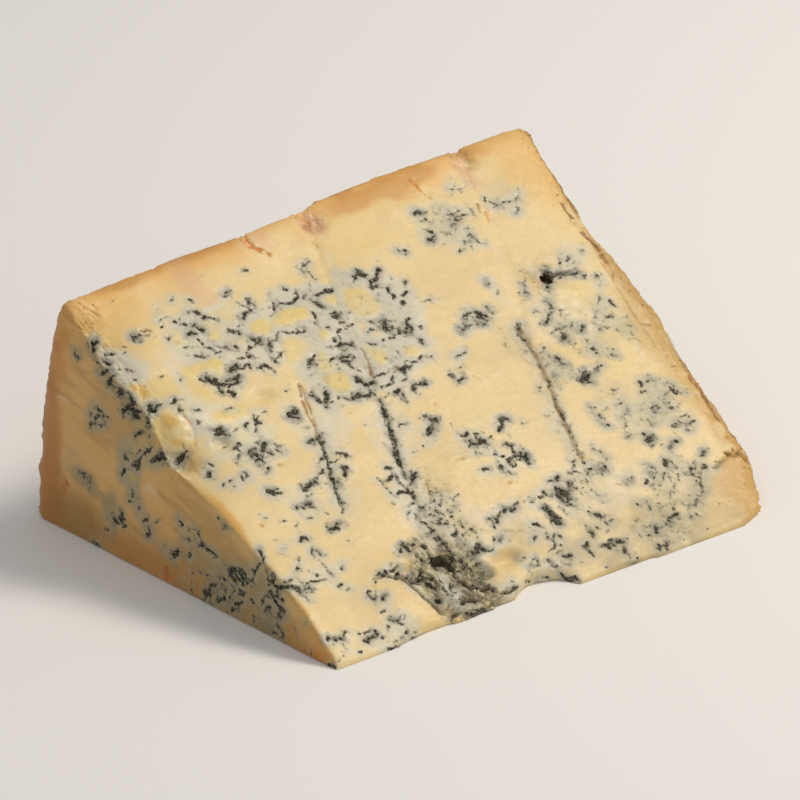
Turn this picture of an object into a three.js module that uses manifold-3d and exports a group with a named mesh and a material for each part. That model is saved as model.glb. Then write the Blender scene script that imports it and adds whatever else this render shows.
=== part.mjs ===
// A wedge of blue cheese, in millimetres, +Z up.
//
// It is one sector of a small half-height wheel, lying on one of its two radial cut faces.
// X runs along the wheel's axis, which is the wedge's thin tip line. Y runs from the tip
// to the rind. The sloping top is the other radial cut face, the left end (-X) is a plain
// cut across the wheel, and the right end (+X) is the wheel's flat side, under crust.
//
// Most of the model is worked out in cylinder coordinates about the tip line:
//   x      along the tip line, 0 at the left end
//   r      distance from the tip line, towards the rind
//   turn   0 on the floor face, 1 on the sloping cut face

import * as THREE from "three";
import { ImprovedNoise } from "three/addons/math/ImprovedNoise.js";
import { mergeVertices } from "three/addons/utils/BufferGeometryUtils.js";
import Module from "manifold-3d";

// ---- driving dimensions ------------------------------------------------------------------

const SECTOR_LEFT = 30.4;       // degrees between the two radial cut faces, at the left end
const SECTOR_RIGHT = 31.4;      // and at the right end: the upper cut is a little twisted
const RIND_RADIUS = 103.2;      // tip line to rind, over the lower half of the rind
const RIND_LENGTH = 133;        // left end to right end, along the rind's upper edge
const TIP_SKEW = 2.9;           // the tip line comes this much forward over its length
const TIP_LENGTH = 113;         // left end to right end, along the tip line
const ORIGIN = new THREE.Vector3(67.0, 50.2, 0);  // the middle of the wedge's footprint

const GRID = { along: 40, radial: 31, around: 10 };  // steps of the surface net, 3 to 5 mm

// How much further out than RIND_RADIUS the rind's upper edge lies, along x.
const RIND_FLARE = [[0, 4.6], [19, 5.7], [30, 6.9], [45, 7.1], [57, 8.0], [75, 10.5], [97, 11.9], [112, 12.7], [133, 12.9]];

// The broken tip: distance from the tip line to the foot of the cheese, along x.
const BROKEN_TIP = [[0, 0.3], [16, 0.3], [21, 2.0], [28, 2.9], [38, 1.9], [50, 3.2], [56, 7.4], [61, 6.4], [70, 0.5], [140, 0.3]];

// The right end in plan: x of the wheel's flat side against the distance from the tip line.
const END_OUTLINE = [[0, TIP_LENGTH], [2, 118], [6, 122.4], [12, 124.6], [17, 127.6], [23, 127.8], [33, 128.6], [42, 129.6], [50, 130.2], [58, 132.6], [90, 132.4], [114, RIND_LENGTH + 2]];

// How far the upper cut face lies below (+) or above (-) its plane along the left edge,
// where curd has broken away, against the distance from the tip line.
const CHIPPED_EDGE = [[0, 0], [6, -1.2], [16, -2.2], [26, -2.0], [34, -0.5], [44, 0.2], [55, 2.6], [63, 5.2], [67, 3.0], [73, 0.4], [80, 2.0], [89, 3.0], [97, 2.0], [106, 0]];
const CHIP_REACH = 6;           // how far these chips run in from the left edge

const LEFT_LEAN = 0.6;          // the left end comes out this much further at its foot

// Curds that stand proud (+) of the upper cut face and dips (-) in it.
const CURDS = [
    { x: 9, r: 71, width: 5.0, lift: 1.3 },
    { x: 3, r: 84, width: 5.5, lift: 0.8 },
    { x: 24, r: 12, width: 8.0, lift: 1.1 },
    { x: 44, r: 19, width: 8.5, lift: -1.6 },
    { x: 57, r: 15, width: 7.0, lift: -1.2 },
    { x: 75, r: 40, width: 22.0, lift: 0.6 },
    { x: 60, r: 98, width: 9.0, lift: -0.8 },
    { x: 112, r: 107, width: 8.0, lift: -0.7 },
    { x: 126, r: 110, width: 9.0, lift: 0.6 },
];

// Tracks left by the piercing needles where the cut laid them open: [x, r] points from the
// rind's side to the tip's side.
const NEEDLE_TRACKS = [
    { width: 1.2, points: [[38, 75], [36, 64], [32, 48], [27, 37]] },
    { width: 1.5, points: [[70, 116], [64, 97], [57, 78], [53, 60], [46, 40], [42, 22]] },
    { width: 1.3, points: [[116, 118], [111, 98], [104, 78], [96, 60], [88, 38], [84, 23]] },
];
const TRACK_STEPS = 12;

// Needle holes in the rind: each row along the wheel is at one turn round the rind.
const NEEDLE_HOLE = { radius: 1.1, depth: 6, lean: 0.25 };
const NEEDLE_ROWS = [
    { turn: 0.25, x: [20, 46, 74, 101] },
    { turn: 0.62, x: [31, 60, 88, 117] },
];

// Openings between the curds, as lumps of air: on the upper cut face, with the depth of the
// lump's middle below it.
const OPENINGS = [
    { x: 112, r: 75, size: [1.7, 1.4, 3.2], depth: 0.4 },
    { x: 116, r: 74.4, size: [4.0, 0.7, 1.8], depth: 0.0 },
    { x: 41, r: 17, size: [3.4, 2.4, 2.6], depth: 0.3 },
    { x: 30, r: 17, size: [3.6, 1.6, 2.0], depth: 0.1 },
    { x: 34, r: 13, size: [2.4, 2.0, 2.2], depth: 0.2 },
    { x: 48, r: 12, size: [3.0, 2.2, 2.4], depth: 0.2 },
    { x: 55, r: 13, size: [4.2, 2.0, 2.2], depth: 0.0 },
    { x: 28, r: 69, size: [3.8, 1.2, 1.6], depth: 0.1 },
    { x: 12, r: 61, size: [2.4, 1.6, 2.2], depth: 0.0 },
];

// ---- small helpers -----------------------------------------------------------------------

const noise = new ImprovedNoise();

/** Value at `at` of a curve through [position, value] points, eased between them. */
function curve(points, at) {
    const last = points.length - 1;
    if (at <= points[0][0]) return points[0][1];
    if (at >= points[last][0]) return points[last][1];
    const i = points.findIndex(([position]) => position > at) - 1;
    const [from, valueFrom] = points[i];
    const [to, valueTo] = points[i + 1];
    return THREE.MathUtils.lerp(valueFrom, valueTo, THREE.MathUtils.smoothstep(at, from, to));
}

/** Smooth bumps of about `size` mm, from -1 to 1. `seed` picks another pattern. */
function bumps(x, y, z, size, seed) {
    return noise.noise(x / size + seed, y / size - seed, z / size + 2 * seed);
}

/** Two octaves of bumps. */
function rough(x, y, z, size, seed) {
    return bumps(x, y, z, size, seed) + 0.5 * bumps(x, y, z, size / 2, seed + 7.3);
}

// ---- the wedge's own shape ---------------------------------------------------------------

/** Angle between the two cut faces at x, in radians. */
function sectorAt(x) {
    return THREE.MathUtils.degToRad(THREE.MathUtils.lerp(SECTOR_LEFT, SECTOR_RIGHT, x / RIND_LENGTH));
}

/** Distance from the tip line to the rind. Its upper half leans outwards. */
function rindRadius(x, turn) {
    return RIND_RADIUS + curve(RIND_FLARE, x) * THREE.MathUtils.smoothstep(turn, 0.35, 1.0);
}

/** Where the point (x, r, turn) lies in space. */
function wedgePoint(x, r, turn) {
    const angle = turn * sectorAt(x);
    const tipY = -TIP_SKEW * x / TIP_LENGTH;
    return new THREE.Vector3(x, tipY + r * Math.cos(angle), r * Math.sin(angle));
}

/** The outward direction of the upper cut face at x. */
function upperNormal(x) {
    const angle = sectorAt(x);
    return new THREE.Vector3(0, -Math.sin(angle), Math.cos(angle));
}

/** How far the upper cut face stands out from its plane. */
function upperRelief(x, r) {
    let lift = 0.35 * rough(x, r, 0, 17, 3.1);
    for (const curd of CURDS) {
        const away = Math.hypot(x - curd.x, r - curd.r) / curd.width;
        lift += curd.lift * Math.exp(-away * away);
    }
    const edge = Math.exp(-((x / CHIP_REACH) ** 2));
    return lift - curve(CHIPPED_EDGE, r) * edge;
}

/** Crust: what the rind and the wheel's flat side stand out from their smooth shape. */
function crustRelief(x, y, z) {
    return 0.6 * rough(x, y, z, 12, 11.7) - 0.3 * Math.abs(bumps(x, y, z, 7, 5.2));
}

/** One vertex of the net, from its place u, v, w (0 to 1) in the box it is folded from. */
function netPoint(u, v, turn) {
    const tipX = u * curve(END_OUTLINE, 4);
    const rindX = u * RIND_LENGTH;
    const r = THREE.MathUtils.lerp(curve(BROKEN_TIP, tipX), rindRadius(rindX, turn), v);
    const bulge = 1.2 * Math.sin(Math.PI * turn);
    const x = u * (curve(END_OUTLINE, r) + bulge);

    const point = wedgePoint(x, r, turn);
    const { y, z } = point;
    const angle = turn * sectorAt(x);
    const outward = new THREE.Vector3(0, Math.cos(angle), Math.sin(angle));
    const move = new THREE.Vector3();
    if (turn === 1) move.addScaledVector(upperNormal(x), upperRelief(x, r));
    if (u === 0) move.x -= 0.5 * rough(x, y, z, 16, 1.9) + LEFT_LEAN * (1 - turn);
    if (u === 1) move.x += crustRelief(x, y, z);
    if (v === 1) move.addScaledVector(outward, crustRelief(x, y, z));
    if (v === 0) move.addScaledVector(outward, 0.3 * rough(x, y, z, 6, 8.8));

    // Edges where two faces meet are worn a little round: more on crust than on a clean cut.
    const crusted = (u === 1) || (v === 1);
    const wear = crusted ? 0.7 : 0.35;
    const faces = [u === 0 || u === 1, v === 0 || v === 1, turn === 1].filter(Boolean).length;
    if (faces > 1) {
        if (u === 0) move.x += wear;
        if (u === 1) move.x -= wear;
        if (v === 1) move.addScaledVector(outward, -wear);
        if (turn === 1) move.addScaledVector(upperNormal(x), -wear);
    }
    point.add(move);
    point.z = turn === 0 ? 0 : Math.max(point.z, 0.4);
    return point;
}

/** The whole wedge before anything is cut from it: a box's net folded to shape. */
function wedgeGeometry() {
    const geometry = new THREE.BoxGeometry(1, 1, 1, GRID.along, GRID.radial, GRID.around);
    const position = geometry.getAttribute("position");
    for (let i = 0; i < position.count; i++) {
        const u = position.getX(i) + 0.5;
        const v = position.getY(i) + 0.5;
        const turn = position.getZ(i) + 0.5;
        const point = netPoint(u, v, turn);
        position.setXYZ(i, point.x, point.y, point.z);
    }
    return geometry;
}

// ---- what is cut from it -----------------------------------------------------------------

/** A point over (+) or under (-) the upper cut face. */
function overUpperFace(x, r, height) {
    return wedgePoint(x, r, 1).addScaledVector(upperNormal(x), upperRelief(x, r) + height);
}

/** A needle track laid open along the upper cut face: a thin bar along a curve. */
function trackGeometry({ width, points }) {
    const half = width / 2;
    const section = new THREE.Shape();
    section.absarc(0, 0, half, 0, 2 * Math.PI);
    const route = points.map(([x, r]) => overUpperFace(x, r, half * 0.25));
    return new THREE.ExtrudeGeometry(section, {
        curveSegments: 6,
        steps: TRACK_STEPS,
        bevelEnabled: false,
        extrudePath: new THREE.CatmullRomCurve3(route),
    });
}

/** A needle hole going into the rind towards the tip line. */
function needleHoleGeometry(x, turn) {
    const { radius, depth, lean } = NEEDLE_HOLE;
    const mouth = wedgePoint(x, rindRadius(x, turn) + 3, turn);
    const inward = wedgePoint(x, 0, turn).sub(mouth).normalize();
    inward.x = -lean;
    inward.normalize();
    const geometry = new THREE.CylinderGeometry(radius, radius * 0.7, depth + 3, 7);
    geometry.applyQuaternion(new THREE.Quaternion().setFromUnitVectors(new THREE.Vector3(0, -1, 0), inward));
    geometry.translate(...mouth.addScaledVector(inward, (depth + 3) / 2).toArray());
    return geometry;
}

/** An uneven lump of air, wider than it is deep, in the upper cut face. */
function openingGeometry({ x, r, size, depth }, index) {
    const geometry = new THREE.IcosahedronGeometry(1, 1);
    const position = geometry.getAttribute("position");
    for (let i = 0; i < position.count; i++) {
        const p = new THREE.Vector3().fromBufferAttribute(position, i);
        p.multiplyScalar(1 + 0.3 * bumps(p.x, p.y, p.z, 0.6, index * 3.7 + 0.5));
        position.setXYZ(i, p.x * size[0], p.y * size[1], p.z * size[2]);
    }
    geometry.rotateX(sectorAt(x));
    geometry.translate(...overUpperFace(x, r, -depth).toArray());
    return geometry;
}

// ---- solids ------------------------------------------------------------------------------

const wasm = await Module();
wasm.setup();

/** A closed three.js geometry as a solid that can be cut. */
function solid(geometry) {
    const bare = geometry.clone();
    bare.deleteAttribute("normal");
    bare.deleteAttribute("uv");
    const merged = mergeVertices(bare, 1e-4);
    return new wasm.Manifold(new wasm.Mesh({
        numProp: 3,
        vertProperties: new Float32Array(merged.getAttribute("position").array),
        triVerts: new Uint32Array(merged.index.array),
    }));
}

/** A solid as a three.js geometry. */
function geometryOf(body) {
    const mesh = body.getMesh();
    const geometry = new THREE.BufferGeometry();
    geometry.setAttribute("position", new THREE.BufferAttribute(mesh.vertProperties, 3));
    geometry.setIndex(new THREE.BufferAttribute(mesh.triVerts, 1));
    geometry.computeVertexNormals();
    return geometry;
}

/** The wedge with its needle tracks, needle holes and openings. */
function cheeseGeometry() {
    const cuts = [
        ...NEEDLE_TRACKS.map(trackGeometry),
        ...NEEDLE_ROWS.flatMap(({ turn, x }) => x.map((at) => needleHoleGeometry(at, turn))),
        ...OPENINGS.map(openingGeometry),
    ];
    let cheese = solid(wedgeGeometry());
    for (const cut of cuts) {
        cheese = cheese.subtract(solid(cut));
    }
    return geometryOf(cheese);
}

// ---- the part ----------------------------------------------------------------------------

const paste = new THREE.MeshStandardMaterial({ color: 0xe4cd9a, roughness: 0.55, metalness: 0 });

const cheese = new THREE.Mesh(cheeseGeometry(), paste);
cheese.name = "cheese_wedge";
cheese.position.copy(ORIGIN).negate();

const group = new THREE.Group();
group.add(cheese);

export default group;
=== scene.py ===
# %% [markdown]
# A wedge of blue cheese, finished in Blender.
#
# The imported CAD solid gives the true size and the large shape: a sector of a small wheel that
# lies on one of its cut faces. This script gives it the surface of real cheese: waxy paste,
# blue mould in its cracks, the tracks of the piercing needles, and a tan crust.
#
# Lengths are written in millimetres, as a cheesemaker would measure them. MM turns them to
# Blender's metres wherever Blender is given one.

import math
from itertools import product

import bpy
import bmesh
import numpy as np
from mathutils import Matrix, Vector
from mathutils.kdtree import KDTree


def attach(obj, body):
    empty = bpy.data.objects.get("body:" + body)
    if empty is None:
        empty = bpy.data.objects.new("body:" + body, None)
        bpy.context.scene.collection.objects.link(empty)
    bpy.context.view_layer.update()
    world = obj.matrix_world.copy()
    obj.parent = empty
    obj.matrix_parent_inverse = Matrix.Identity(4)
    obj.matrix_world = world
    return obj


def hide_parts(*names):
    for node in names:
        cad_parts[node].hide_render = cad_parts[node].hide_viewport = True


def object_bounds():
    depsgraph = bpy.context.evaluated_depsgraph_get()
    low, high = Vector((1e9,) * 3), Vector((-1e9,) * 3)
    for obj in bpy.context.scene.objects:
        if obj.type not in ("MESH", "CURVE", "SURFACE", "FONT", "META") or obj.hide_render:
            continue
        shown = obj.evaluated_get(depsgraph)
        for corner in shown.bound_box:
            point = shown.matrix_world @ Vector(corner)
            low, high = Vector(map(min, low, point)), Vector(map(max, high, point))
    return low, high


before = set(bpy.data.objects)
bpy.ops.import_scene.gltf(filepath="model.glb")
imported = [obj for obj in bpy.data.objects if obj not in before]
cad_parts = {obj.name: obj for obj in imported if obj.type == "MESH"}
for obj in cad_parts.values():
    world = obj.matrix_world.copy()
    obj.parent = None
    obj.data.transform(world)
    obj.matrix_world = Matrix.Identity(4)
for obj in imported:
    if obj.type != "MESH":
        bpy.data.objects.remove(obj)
cad_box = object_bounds()
MM = 0.001
CAD_NODE = "cheese_wedge"
print("CAD box in mm:", [[round(v / MM, 1) for v in corner] for corner in cad_box])

# %% [markdown]
# Cheese coordinates. The wedge is easiest to describe round the thin tip line, the axis of
# the wheel that it was cut from: x along that line, r away from it towards the rind, and turn
# from 0 on the floor face to 1 on the sloping cut face. These few sizes repeat the ones that
# the solid was built from.

# %% Cheese coordinates
TIP_CORNER = np.array([-67.0, -50.2, 0.0])   # left end of the tip line, from the origin
TIP_LENGTH = 113.0
TIP_SKEW = 2.9
RIND_LENGTH = 133.0
SECTOR_LEFT = math.radians(30.4)
SECTOR_RIGHT = math.radians(31.4)


def sector_at(x):
    """Angle between the two cut faces at x."""
    return SECTOR_LEFT + (SECTOR_RIGHT - SECTOR_LEFT) * x / RIND_LENGTH


def tip_y(x):
    """The tip line comes a little forward towards its right end."""
    return -TIP_SKEW * x / TIP_LENGTH


def on_upper_cut(x, r):
    """The point at (x, r) on the sloping cut face, in mm from the tip corner."""
    angle = sector_at(x)
    return np.array([x, tip_y(x) + r * math.cos(angle), r * math.sin(angle)])


print("middle of the upper cut, mm:", on_upper_cut(65, 55).round(1))

# %% [markdown]
# The camera comes first, because every later step is judged through it. It is a long lens,
# well back, so that the wedge's edges stay nearly parallel.

# %% Camera
CAMERA_DISTANCE = 1400.0                       # mm
CAMERA_TURN = math.radians(-40.5)              # round from the front, towards the left end
CAMERA_RISE = math.radians(23.55)
CAMERA_TARGET = np.array([60.1, 50.95, 27.5])  # mm from the tip corner
FOCAL_LENGTH = 291.1                           # on a 36 mm wide sensor


def metres(point):
    """A place in mm from the tip corner, as a Blender vector."""
    return Vector((np.asarray(point, float) + TIP_CORNER) * MM)


towards_camera = np.array([
    math.sin(CAMERA_TURN) * math.cos(CAMERA_RISE),
    -math.cos(CAMERA_TURN) * math.cos(CAMERA_RISE),
    math.sin(CAMERA_RISE),
])
camera_data = bpy.data.cameras.new("camera")
camera_data.lens = FOCAL_LENGTH
camera_data.sensor_width = 36.0
camera_data.clip_end = 20.0
camera = bpy.data.objects.new("camera", camera_data)
camera.location = metres(CAMERA_TARGET + towards_camera * CAMERA_DISTANCE)
camera.rotation_euler = Vector(towards_camera).to_track_quat("Z", "Y").to_euler()
bpy.context.scene.collection.objects.link(camera)
bpy.context.scene.camera = camera
print("camera at", [round(v, 3) for v in camera.location])

# %% [markdown]
# Small tools. Colours are given as sRGB hex values, as they would be picked from a swatch.
# Paint that covers the cheese softly is mixed as sRGB, a row for each point of the skin, and
# everything is turned to Blender's linear values in one function. One more adds a shader node.

# %% Colour and node helpers


def swatch(hex_colour):
    """An sRGB hex colour as three numbers from 0 to 1."""
    return np.array([int(hex_colour[i:i + 2], 16) / 255 for i in (1, 3, 5)])


def linear(srgb):
    """sRGB numbers, or a hex colour, as linear RGBA."""
    srgb = swatch(srgb) if isinstance(srgb, str) else srgb
    channels = np.where(srgb <= 0.04045, srgb / 12.92, ((srgb + 0.055) / 1.055) ** 2.4)
    return np.concatenate([channels, np.ones(channels.shape[:-1] + (1,))], axis=-1)


def add_node(tree, kind, inputs=None, **settings):
    """Adds a node, sets its properties, and sets or links its open inputs by name or number."""
    node = tree.nodes.new(kind)
    for name, value in settings.items():
        setattr(node, name, value)
    sockets = [socket for socket in node.inputs if socket.enabled]
    for key, value in (inputs or {}).items():
        socket = sockets[key] if isinstance(key, int) else next(s for s in sockets if s.name == key)
        if isinstance(value, bpy.types.Node):
            value = next(output for output in value.outputs if output.enabled)
        if isinstance(value, bpy.types.NodeSocket):
            tree.links.new(value, socket)
        else:
            socket.default_value = value
    return node


# %% [markdown]
# Random bumps. The same lattice noise roughens the crust, crumples the edges of the mould and
# sets the curds at slightly different heights, so it is written once, for many points at a
# time. Broken cheese falls into crumbs, each at a height of its own, with cracks between. A
# seed picks the pattern, and the same seed always gives the same cheese.

# %% Bumps


def dice(cells, seed):
    """A fixed random number from -1 to 1 for each whole-numbered cell of space. The large
    numbers only stir the cell's address."""
    key = cells @ np.array([73856093, 19349663, 83492791]) + seed * 7919
    key = (key ^ (key >> 13)) * 1274126177 & 0x7FFFFFFF
    key = (key ^ (key >> 11)) * 668265263 & 0x7FFFFFFF
    return (key >> 8 & 0xFFFF) / 32767.5 - 1


def bumps(places, size, seed):
    """Smooth random bumps about `size` mm across, from -1 to 1, at each row of places."""
    place = places / size + seed * 13.7
    cell = np.floor(place).astype(np.int64)
    part = place - cell
    part = part * part * (3 - 2 * part)
    total = np.zeros(len(places))
    for corner in product((0, 1), repeat=3):
        total += np.prod(np.where(corner, part, 1 - part), axis=1) * dice(cell + corner, seed)
    return total


def rough(places, size, seed, octaves=3):
    """Bumps with finer and finer bumps on them."""
    return sum(bumps(places, size / 2 ** k, seed + k) / 2 ** k for k in range(octaves))


def crumble(places, size, seed):
    """Space broken into crumbs `size` mm across: a height from -1 to 1 for the crumb that each
    place is in, and how far the place is from the crack round it, in mm."""
    place = places / size
    cell = np.floor(place).astype(np.int64)
    nearest, second = np.full((2, len(places)), np.inf)
    height = np.zeros(len(places))
    for corner in product((-1, 0, 1), repeat=3):
        near = cell + corner
        middle = near + 0.5 + 0.45 * np.stack([dice(near, seed + k) for k in range(3)], 1)
        far = np.linalg.norm(place - middle, axis=1)
        closer = far < nearest
        second = np.where(closer, nearest, np.minimum(second, far))
        nearest = np.where(closer, far, nearest)
        height = np.where(closer, dice(near, seed + 3), height)
    return height, (second - nearest) * size / 2


def ease(value, low, high):
    """0 before low, 1 past high, smooth between. It falls where low is above high."""
    t = np.clip((value - low) / (high - low), 0, 1)
    return t * t * (3 - 2 * t)


test_points = np.random.default_rng(1).uniform(0, 100, (2000, 3))
print("bumps spread:", bumps(test_points, 5, 1).std().round(2))

# %% [markdown]
# Where the mould grows. Blue mould needs air, so it lives in the cracks between curds and
# along the needle tracks, and never as an even marbling. No rule places it as a real wheel
# does, so the veins are drawn one by one, as a restorer copies a pattern: each line below is one
# stroke on a cut face, with its half width, its strength (1 is black mould, 0.5 a smudge) and
# the places that it runs through, all in mm. On the upper cut a place is x and r.

# %% Strokes on the upper cut


def read_strokes(text):
    """Half width, strength and places from each line. A line that starts with # is a note."""
    strokes = []
    for line in text.splitlines():
        numbers = [float(word) for word in line.split("#")[0].split()]
        if numbers:
            strokes.append((numbers[0], numbers[1], np.array(numbers[2:]).reshape(-1, 2)))
    return strokes


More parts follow.
